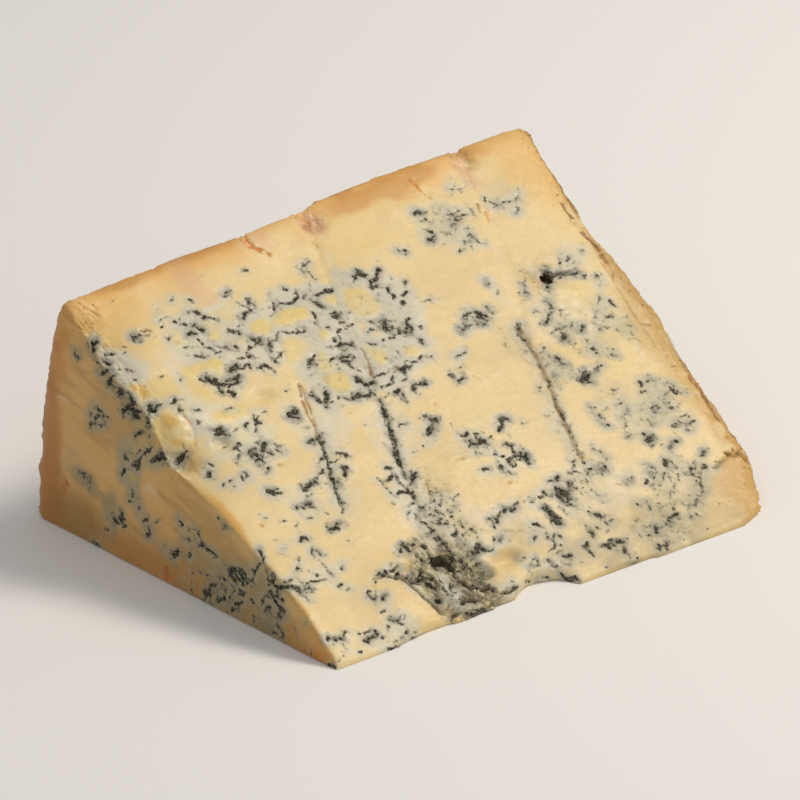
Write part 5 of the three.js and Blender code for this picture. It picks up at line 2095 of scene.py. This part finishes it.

# The left end is browner than the upper cut and darker low down: partly dried paste, partly painted
# warm shade
cover("#d2a15c", 0.88 * left_end)
cover("#b88645", 0.7 * left_end * ease(points[:, 2], 16, 2))
cover("#9c7c4a", 0.65 * left_end * ease(points[:, 1], 62, 30) * ease(points[:, 1], 6, 20))
cover("#b57a3c", 0.7 * left_end * ease(points[:, 1], 90, 100))
cover("#8a703e", 0.45 * left_end * ease(points[:, 1], 36, 18))
# Painted highlight: a pale cream band along the top edge of the left end near the tip, where the
# edge bends over
cover("#e0ba78", 0.7 * left_end * ease(under_upper, 4, 0.6) * ease(distance, 64, 52))

# The knife dragged its paste into streaks
drawn_out = np.stack([0.12 * points[:, 1], points[:, 2] - 0.21 * points[:, 1], 0.4 * along], 1)
streaks = rough(drawn_out, 1.8, 48, 3)
cover("#98743f", 0.45 * left_end * ease(streaks, 0.1, 1.0))
cover("#dcb67a", 0.35 * left_end * ease(-streaks, 0.1, 0.9))
for hex_colour, centre, halves, strength in END_STAINS:
    stain = patch(end_flat + 1.2 * ragged, centre, halves, 0.45 * min(halves))
    cover(hex_colour, strength * left_end * stain)

# Bloom, curds and clouds of mould. The glossy curds are painted paler than the paste round them,
# partly as painted light, since they slope away from the key lamp
bloom = ease(veil + 0.2 * mottle + 0.12 * rough(points, 1.8, 96, 2), 0.05, 0.95)
bloom *= 1 - 0.8 * curds
cover("#dcd8c6", 0.85 * bloom * (1 - 0.6 * left_end))
cover("#aeac90", 0.8 * grey * np.clip(0.8 + 0.6 * mottle, 0, 1))
cover("#e9cf80", 0.85 * yolk * (1 - curds))
# Partly painted light: the glossy curds are lightened in colour to look lit
cover("#f6e0a8", 0.95 * curds * np.clip(0.85 + 0.4 * mottle, 0, 1))
cover("#eab64e", 0.8 * curds * yolk * ease(bumps(points, 3.4, 53), -0.3, 0.5))
around = ease(halo * (1 + 0.5 * mottle), 0.08, 0.75) * (1 - curds)
cover("#cfccbc", 0.64 * around * (1 - left_end))
cover("#b9b08f", 0.55 * around * rightwards * ease(distance, 80, 55))
cover("#a4946f", 0.6 * left_end * around)
low_corner = ease(along, 58, 78) * ease(distance, 22, 8) * upper_cut
cover("#a9996f", 0.68 * low_corner * np.clip(0.75 + 0.5 * mottle, 0, 1) * ease(along, 119, 113))
smudge = ease(halo * (1 + 0.35 * rough(points, 2, 97, 2)), 0.55, 1.10) * (1 - curds)
cover("#8a897a", 0.6 * smudge * (1 - 0.6 * left_end))

# The hollow: pale flakes, painted lighter where they stand high and duller deeper down as painted
# light and shade, and painted shade, dark brown, in the cracks between them and in the torn crust
flaked = hollow * (1 - smooth_floor)
cover("#c0b48e", 0.6 * flaked * np.clip(0.8 + 0.6 * mottle, 0, 1))
cover("#d6c79c", 0.85 * flaked * ease(crumb_height, -0.1, 0.5))
cover("#8f8a70", 0.38 * flaked * ease(crumb_height, -0.1, -0.5))
cover("#4a3a20", 0.6 * np.maximum(hollow, 0.3 * torn) * (1 - smooth_floor) * crack)

# Tracks, cracks and crevices
cover("#f0dcae", 0.6 * beside_orange * ease(rough(points, 1.5, 98, 2), -0.3, 0.6))
cover("#d07c22", 0.95 * ease(orange * (1 + 0.7 * rough(points, 1.1, 99, 2)), 0.25, 0.8))
cover("#8a5f2c", 0.85 * ease(brown, 0.15, 0.75))
cover("#e6d5b0", 0.5 * ease(groove, 0.3, 0.9))
# Painted shade: the crevices are coloured near black, darker than their shallow pits would show
cover("#2a1f12", 0.92 * ease(crevice * upper_cut, 0.2, 0.7))

# The right corner, broken off along a slant, shows clean paste, dried tan
past_slant = upper_flat @ (1, -1.07) + 1.5 * ragged[:, 0]
corner = ease(past_slant, 98, 102) * ease(upper_flat[:, 1], 19.5, 17.5) * upper_cut
cover("#d9bd82", 0.85 * corner * ease(along, 121, 108))
cover("#d3ab66", 0.85 * corner * ease(along, 111, 119))
cover("#e9d6ac", 0.6 * corner * ease(groove, 0.3, 0.8))

# The crust: dried paste, scabs, and dust of white mould
crust_mix = rough(points, 11, 91, 5)
crust_grain = rough(points, 2.4, 93, 2)
cover("#b28a52", crust)
cover("#8a6437", 0.8 * crust * ease(crust_mix + 0.3 * crust_grain, 0.1, 1.1))
cover("#cdb284", 0.8 * crust * ease(-crust_mix + 0.3 * crust_grain, 0.1, 1.0))
cover("#d9d0b8", 0.75 * crust * ease(rough(points, 16, 95, 4) + 0.4 * crust_grain, 0.35, 0.9))
cover("#6d5434", 0.7 * crust * ease(-crust_grain, 0.55, 1.0))
print("mean paste colour:", colour.mean(0).round(2))

# %% Keep the fields on the skin for the material


def keep(name, values):
    """Stores one number a point, for the material to read."""
    attribute = skin.data.attributes.new(name, "FLOAT", "POINT")
    attribute.data.foreach_set("value", np.asarray(values, np.float32))


paste_attribute = skin.data.attributes.new("paste", "FLOAT_COLOR", "POINT")
paste_attribute.data.foreach_set("color", linear(colour).astype(np.float32).ravel())
keep("mould", mould * (1 - crevice))
keep("crust", crust)
keep("wet", np.maximum(curds, 0.4 * yolk))
keep("crumbs", (1 - curds) * np.maximum.reduce([
    0.9 * hollow, 0.6 * broken_edge, 0.5 * torn, 0.3 * dry_edge,
    0.12 * crust, 0.3 * ease(mould, 0.5, 0.9),
]))
print("fields:", [a.name for a in skin.data.attributes if a.data_type in ("FLOAT", "FLOAT_COLOR")])

# %% [markdown]
# The cheese itself. Blue cheese paste is fat, protein and water: dense, cream coloured and
# waxy. Light sinks a few millimetres in, which softens shadows, and the cut surface has a
# dull moist sheen. The mould is black-green and crumbly, and takes the shine away. The crust
# is dried paste, tan and matt. One material holds all three, mixed by the fields.

# %% A material that reads the fields
MATH, NOISE, BLEND = "ShaderNodeMath", "ShaderNodeTexNoise", "ShaderNodeMix"
VECTOR, RANGE, FIELD = "ShaderNodeVectorMath", "ShaderNodeMapRange", "ShaderNodeAttribute"
cheese = bpy.data.materials.new("semi_soft_blue_cheese")
cheese.use_nodes = True
tree = cheese.node_tree
bsdf = tree.nodes["Principled BSDF"]
place = add_node(tree, "ShaderNodeTexCoord").outputs["Object"]
mould_field = add_node(tree, FIELD, attribute_name="mould").outputs["Fac"]
crust_field = add_node(tree, FIELD, attribute_name="crust").outputs["Fac"]
wet_field = add_node(tree, FIELD, attribute_name="wet").outputs["Fac"]
paste = add_node(tree, FIELD, attribute_name="paste").outputs["Color"]


def per_metre(size):
    """Noise scale for a pattern with features `size` mm across."""
    return 1.0 / (size * MM)


print("material with", len(tree.nodes), "nodes so far")

# %% Ragged cores of mould
fray = add_node(tree, NOISE, {
    "Vector": place, "Scale": per_metre(1.0), "Detail": 2.0, "Roughness": 0.65,
})
patchy = add_node(tree, NOISE, {"Vector": place, "Scale": per_metre(2.0), "Detail": 1.0})
frayed = add_node(tree, MATH, {0: fray, 1: 2.0, 2: mould_field}, operation="MULTIPLY_ADD")
frayed = add_node(tree, MATH, {0: patchy, 1: 1.0, 2: frayed}, operation="MULTIPLY_ADD")
speck = add_node(tree, NOISE, {"Vector": place, "Scale": per_metre(0.42), "Detail": 1.0})
frayed = add_node(tree, MATH, {0: speck, 1: 0.9, 2: frayed}, operation="MULTIPLY_ADD")
in_mould = add_node(tree, RANGE, {"Value": mould_field, "From Min": 0.03, "From Max": 0.25})
core = add_node(tree, RANGE, {
    "Value": frayed, "From Min": 2.24, "From Max": 2.84,
}, interpolation_type="SMOOTHSTEP")
ink = add_node(tree, MATH, {0: core, 1: in_mould}, operation="MULTIPLY")

# %% Colours
curdy = add_node(tree, NOISE, {"Vector": place, "Scale": per_metre(0.9), "Detail": 2.0})
mottled = add_node(tree, RANGE, {
    "Value": curdy, "From Min": 0.40, "From Max": 0.75, "To Max": 0.12,
})
fresh = add_node(tree, BLEND, {
    "Factor": mottled, "A": paste, "B": linear("#c9ab74"),
}, data_type="RGBA")

# Grey-green spores dull the paste round the cores before the black starts
dusted = add_node(tree, MATH, {0: patchy, 1: 1.3, 2: mould_field}, operation="MULTIPLY_ADD")
dusted = add_node(tree, RANGE, {
    "Value": dusted, "From Min": 0.62, "From Max": 1.30, "To Max": 0.75,
}, interpolation_type="SMOOTHSTEP")
dusted = add_node(tree, MATH, {0: dusted, 1: in_mould}, operation="MULTIPLY")
spored = add_node(tree, BLEND, {
    "Factor": dusted, "A": fresh, "B": linear("#8a866f"),
}, data_type="RGBA")

# The black itself, with a few paler crumbs in it
browned = add_node(tree, RANGE, {"Value": patchy, "From Min": 0.40, "From Max": 0.62})
dark = add_node(tree, BLEND, {
    "Factor": browned, "A": linear("#16150f"), "B": linear("#3d3627"),
}, data_type="RGBA")
pale = add_node(tree, RANGE, {"Value": speck, "From Min": 0.50, "From Max": 0.36, "To Max": 0.6})
dark = add_node(tree, BLEND, {
    "Factor": pale, "A": dark, "B": linear("#8b8770"),
}, data_type="RGBA")
rim = add_node(tree, RANGE, {"Value": ink, "From Max": 0.6, "To Max": 0.75})
inked = add_node(tree, BLEND, {
    "Factor": rim, "A": spored, "B": linear("#625e50"),
}, data_type="RGBA")
solid = add_node(tree, RANGE, {"Value": ink, "From Min": 0.3, "From Max": 0.9})
inked = add_node(tree, BLEND, {"Factor": solid, "A": inked, "B": dark}, data_type="RGBA")

# Scabs and dust on the crust
scab = add_node(tree, NOISE, {
    "Vector": place, "Scale": per_metre(2.2), "Detail": 4.0, "Roughness": 0.65,
})
scab = add_node(tree, RANGE, {"Value": scab, "From Min": 0.50, "From Max": 0.68, "To Max": 0.6})
scab = add_node(tree, MATH, {0: scab, 1: crust_field}, operation="MULTIPLY")
finished = add_node(tree, BLEND, {
    "Factor": scab, "A": inked, "B": linear("#7a532c"),
}, data_type="RGBA")
tree.links.new(finished.outputs[2], bsdf.inputs["Base Color"])
print("colours set")

# %% Sheen, depth and fine grain
gloss = add_node(tree, MATH, {0: curdy, 1: 0.30, 2: 0.27}, operation="MULTIPLY_ADD")
gloss = add_node(tree, MATH, {0: ink, 1: 0.35, 2: gloss}, operation="MULTIPLY_ADD")
gloss = add_node(tree, MATH, {0: crust_field, 1: 0.35, 2: gloss}, operation="MULTIPLY_ADD")
gloss = add_node(tree, MATH, {
    0: wet_field, 1: -0.20, 2: gloss,
}, operation="MULTIPLY_ADD", use_clamp=True)
tree.links.new(gloss.outputs[0], bsdf.inputs["Roughness"])
bsdf.inputs["IOR"].default_value = 1.45
bsdf.inputs["Specular IOR Level"].default_value = 0.4
bsdf.inputs["Subsurface Weight"].default_value = 0.2
bsdf.inputs["Subsurface Radius"].default_value = (1.0, 0.7, 0.4)
bsdf.inputs["Subsurface Scale"].default_value = 2.0 * MM
grain = add_node(tree, MATH, {0: ink, 1: -1.0, 2: curdy}, operation="MULTIPLY_ADD")
grain = add_node(tree, MATH, {0: fray, 1: 0.5, 2: grain}, operation="MULTIPLY_ADD")
bump = add_node(tree, "ShaderNodeBump", {"Height": grain, "Strength": 0.4, "Distance": 0.10 * MM})
tree.links.new(bump.outputs["Normal"], bsdf.inputs["Normal"])
skin.data.materials.append(cheese)
for polygon in skin.data.polygons:
    polygon.use_smooth = True
print("material nodes:", len(tree.nodes))

# %% [markdown]
# Crumbs. Where the cheese broke it left crumbs of itself: in the mouldy hollow, along the
# broken left edge, on the mould knots and in the crust. They are far too many to place by
# hand, so Geometry Nodes scatters them over the skin by the `crumbs` field. Each is a
# twenty-sided pebble, turned and squashed at random, and it carries the fields of the spot
# that it sits on, so it takes the same colours.

# %% Scatter crumbs
FULL_TURN = 6.28          # radians
PEBBLE_CORNERS = 12
CRUMB_INPUTS = [
    ("Crumbs per square metre", "NodeSocketFloat", 2200000.0),
    ("Smallest crumb", "NodeSocketFloat", 0.10 * MM),
    ("Largest crumb", "NodeSocketFloat", 0.40 * MM),
    ("Seed", "NodeSocketInt", 3),
]
scatter = bpy.data.node_groups.new("crumbs_of_cheese", "GeometryNodeTree")
scatter.interface.new_socket("Skin", in_out="INPUT", socket_type="NodeSocketGeometry")
crumb_sockets = [
    scatter.interface.new_socket(name, in_out="INPUT", socket_type=kind)
    for name, kind, value in CRUMB_INPUTS
]
scatter.interface.new_socket("Crumbs", in_out="OUTPUT", socket_type="NodeSocketGeometry")

given = add_node(scatter, "NodeGroupInput").outputs
share = add_node(scatter, "GeometryNodeInputNamedAttribute", {"Name": "crumbs"}, data_type="FLOAT")
clumped = add_node(scatter, NOISE, {"Scale": per_metre(2.5), "Detail": 1.0})
clumped = add_node(scatter, RANGE, {"Value": clumped, "From Min": 0.45, "From Max": 0.65})
share = add_node(scatter, MATH, {0: share, 1: clumped}, operation="MULTIPLY")
wanted = given["Crumbs per square metre"]
density = add_node(scatter, MATH, {0: share, 1: wanted}, operation="MULTIPLY")
spots = add_node(scatter, "GeometryNodeDistributePointsOnFaces", {
    "Mesh": given["Skin"], "Density": density, "Seed": given["Seed"],
})
pebble = add_node(scatter, "GeometryNodeMeshIcoSphere", {"Radius": 1.0, "Subdivisions": 1})
turn = add_node(scatter, "FunctionNodeRandomValue", {
    "Min": (0, 0, 0), "Max": (FULL_TURN, FULL_TURN, FULL_TURN), "Seed": given["Seed"],
}, data_type="FLOAT_VECTOR")
squash = add_node(scatter, "FunctionNodeRandomValue", {
    "Min": (0.6, 0.5, 0.35), "Max": (1.0, 0.9, 0.7), "Seed": 11,
}, data_type="FLOAT_VECTOR")
size = add_node(scatter, "FunctionNodeRandomValue", {
    "Min": given["Smallest crumb"], "Max": given["Largest crumb"], "Seed": 12,
}, data_type="FLOAT")
shape = add_node(scatter, VECTOR, {0: squash, 1: size}, operation="SCALE")
placed = add_node(scatter, "GeometryNodeInstanceOnPoints", {
    "Points": spots.outputs["Points"], "Instance": pebble.outputs["Mesh"],
    "Rotation": turn, "Scale": shape,
})
real = add_node(scatter, "GeometryNodeRealizeInstances", {"Geometry": placed})
coloured = add_node(scatter, "GeometryNodeSetMaterial", {"Geometry": real, "Material": cheese})
add_node(scatter, "NodeGroupOutput", {"Crumbs": coloured})

crumbs = bpy.data.objects.new("cheese_crumbs", skin.data.copy())
bpy.context.scene.collection.objects.link(crumbs)
scattering = crumbs.modifiers.new("crumbs", "NODES")
scattering.node_group = scatter
for socket, (name, kind, value) in zip(crumb_sockets, CRUMB_INPUTS):
    scattering[socket.identifier] = value
evaluated = crumbs.evaluated_get(bpy.context.evaluated_depsgraph_get())
scattered = bpy.data.meshes.new_from_object(evaluated)
crumbs.modifiers.clear()
crumbs.data = scattered
print("crumbs:", len(scattered.vertices) // PEBBLE_CORNERS, "of", triangles(scattered), "triangles")

# %% [markdown]
# The crumbs must not reach past the solid's box, so the few that do are moved in.

# %% Keep the crumbs inside the box
crumb_points = np.clip(read(scattered, "co"), cad_box[0], cad_box[1])
scattered.vertices.foreach_set("co", crumb_points.astype(np.float32).ravel())
scattered.update()

# %% Stand in for the CAD node
for piece in (skin, crumbs):
    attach(piece, "root")
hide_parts(CAD_NODE)

# %% [markdown]
# A white sheet of paper to stand on, and soft studio light: a bright pale room, a large lamp
# high on the right, and a weak one from the left. A small hard lamp would show more of the
# relief, but its shadows would hide the veins.

# %% Floor and light
bpy.ops.mesh.primitive_plane_add(size=6.0)
floor = bpy.context.object
floor.name = "floor"
paper = bpy.data.materials.new("white_paper")
paper.use_nodes = True
paper.node_tree.nodes["Principled BSDF"].inputs["Base Color"].default_value = linear("#f7f6f4")
paper.node_tree.nodes["Principled BSDF"].inputs["Roughness"].default_value = 0.9
floor.data.materials.append(paper)

world = bpy.data.worlds.new("studio")
bpy.context.scene.world = world
world.use_nodes = True
world.node_tree.nodes["Background"].inputs["Color"].default_value = linear("#ffffff")
world.node_tree.nodes["Background"].inputs["Strength"].default_value = 0.38
bpy.context.scene.view_settings.view_transform = "Standard"


def add_lamp(name, place, size, power, colour):
    """A square soft lamp at `place` (mm from the tip corner), facing the wedge."""
    data = bpy.data.lights.new(name, "AREA")
    data.size = size
    data.energy = power
    data.color = linear(colour)[:3]
    lamp = bpy.data.objects.new(name, data)
    lamp.location = metres(place)
    aim = Vector(lamp.location) - metres(CAMERA_TARGET)
    lamp.rotation_euler = aim.to_track_quat("Z", "Y").to_euler()
    bpy.context.scene.collection.objects.link(lamp)


add_lamp("key", (700, -250, 900), 0.4, 7.4, "#fff4e6")
add_lamp("fill", (-600, -700, 500), 0.8, 1.0, "#ffffff")
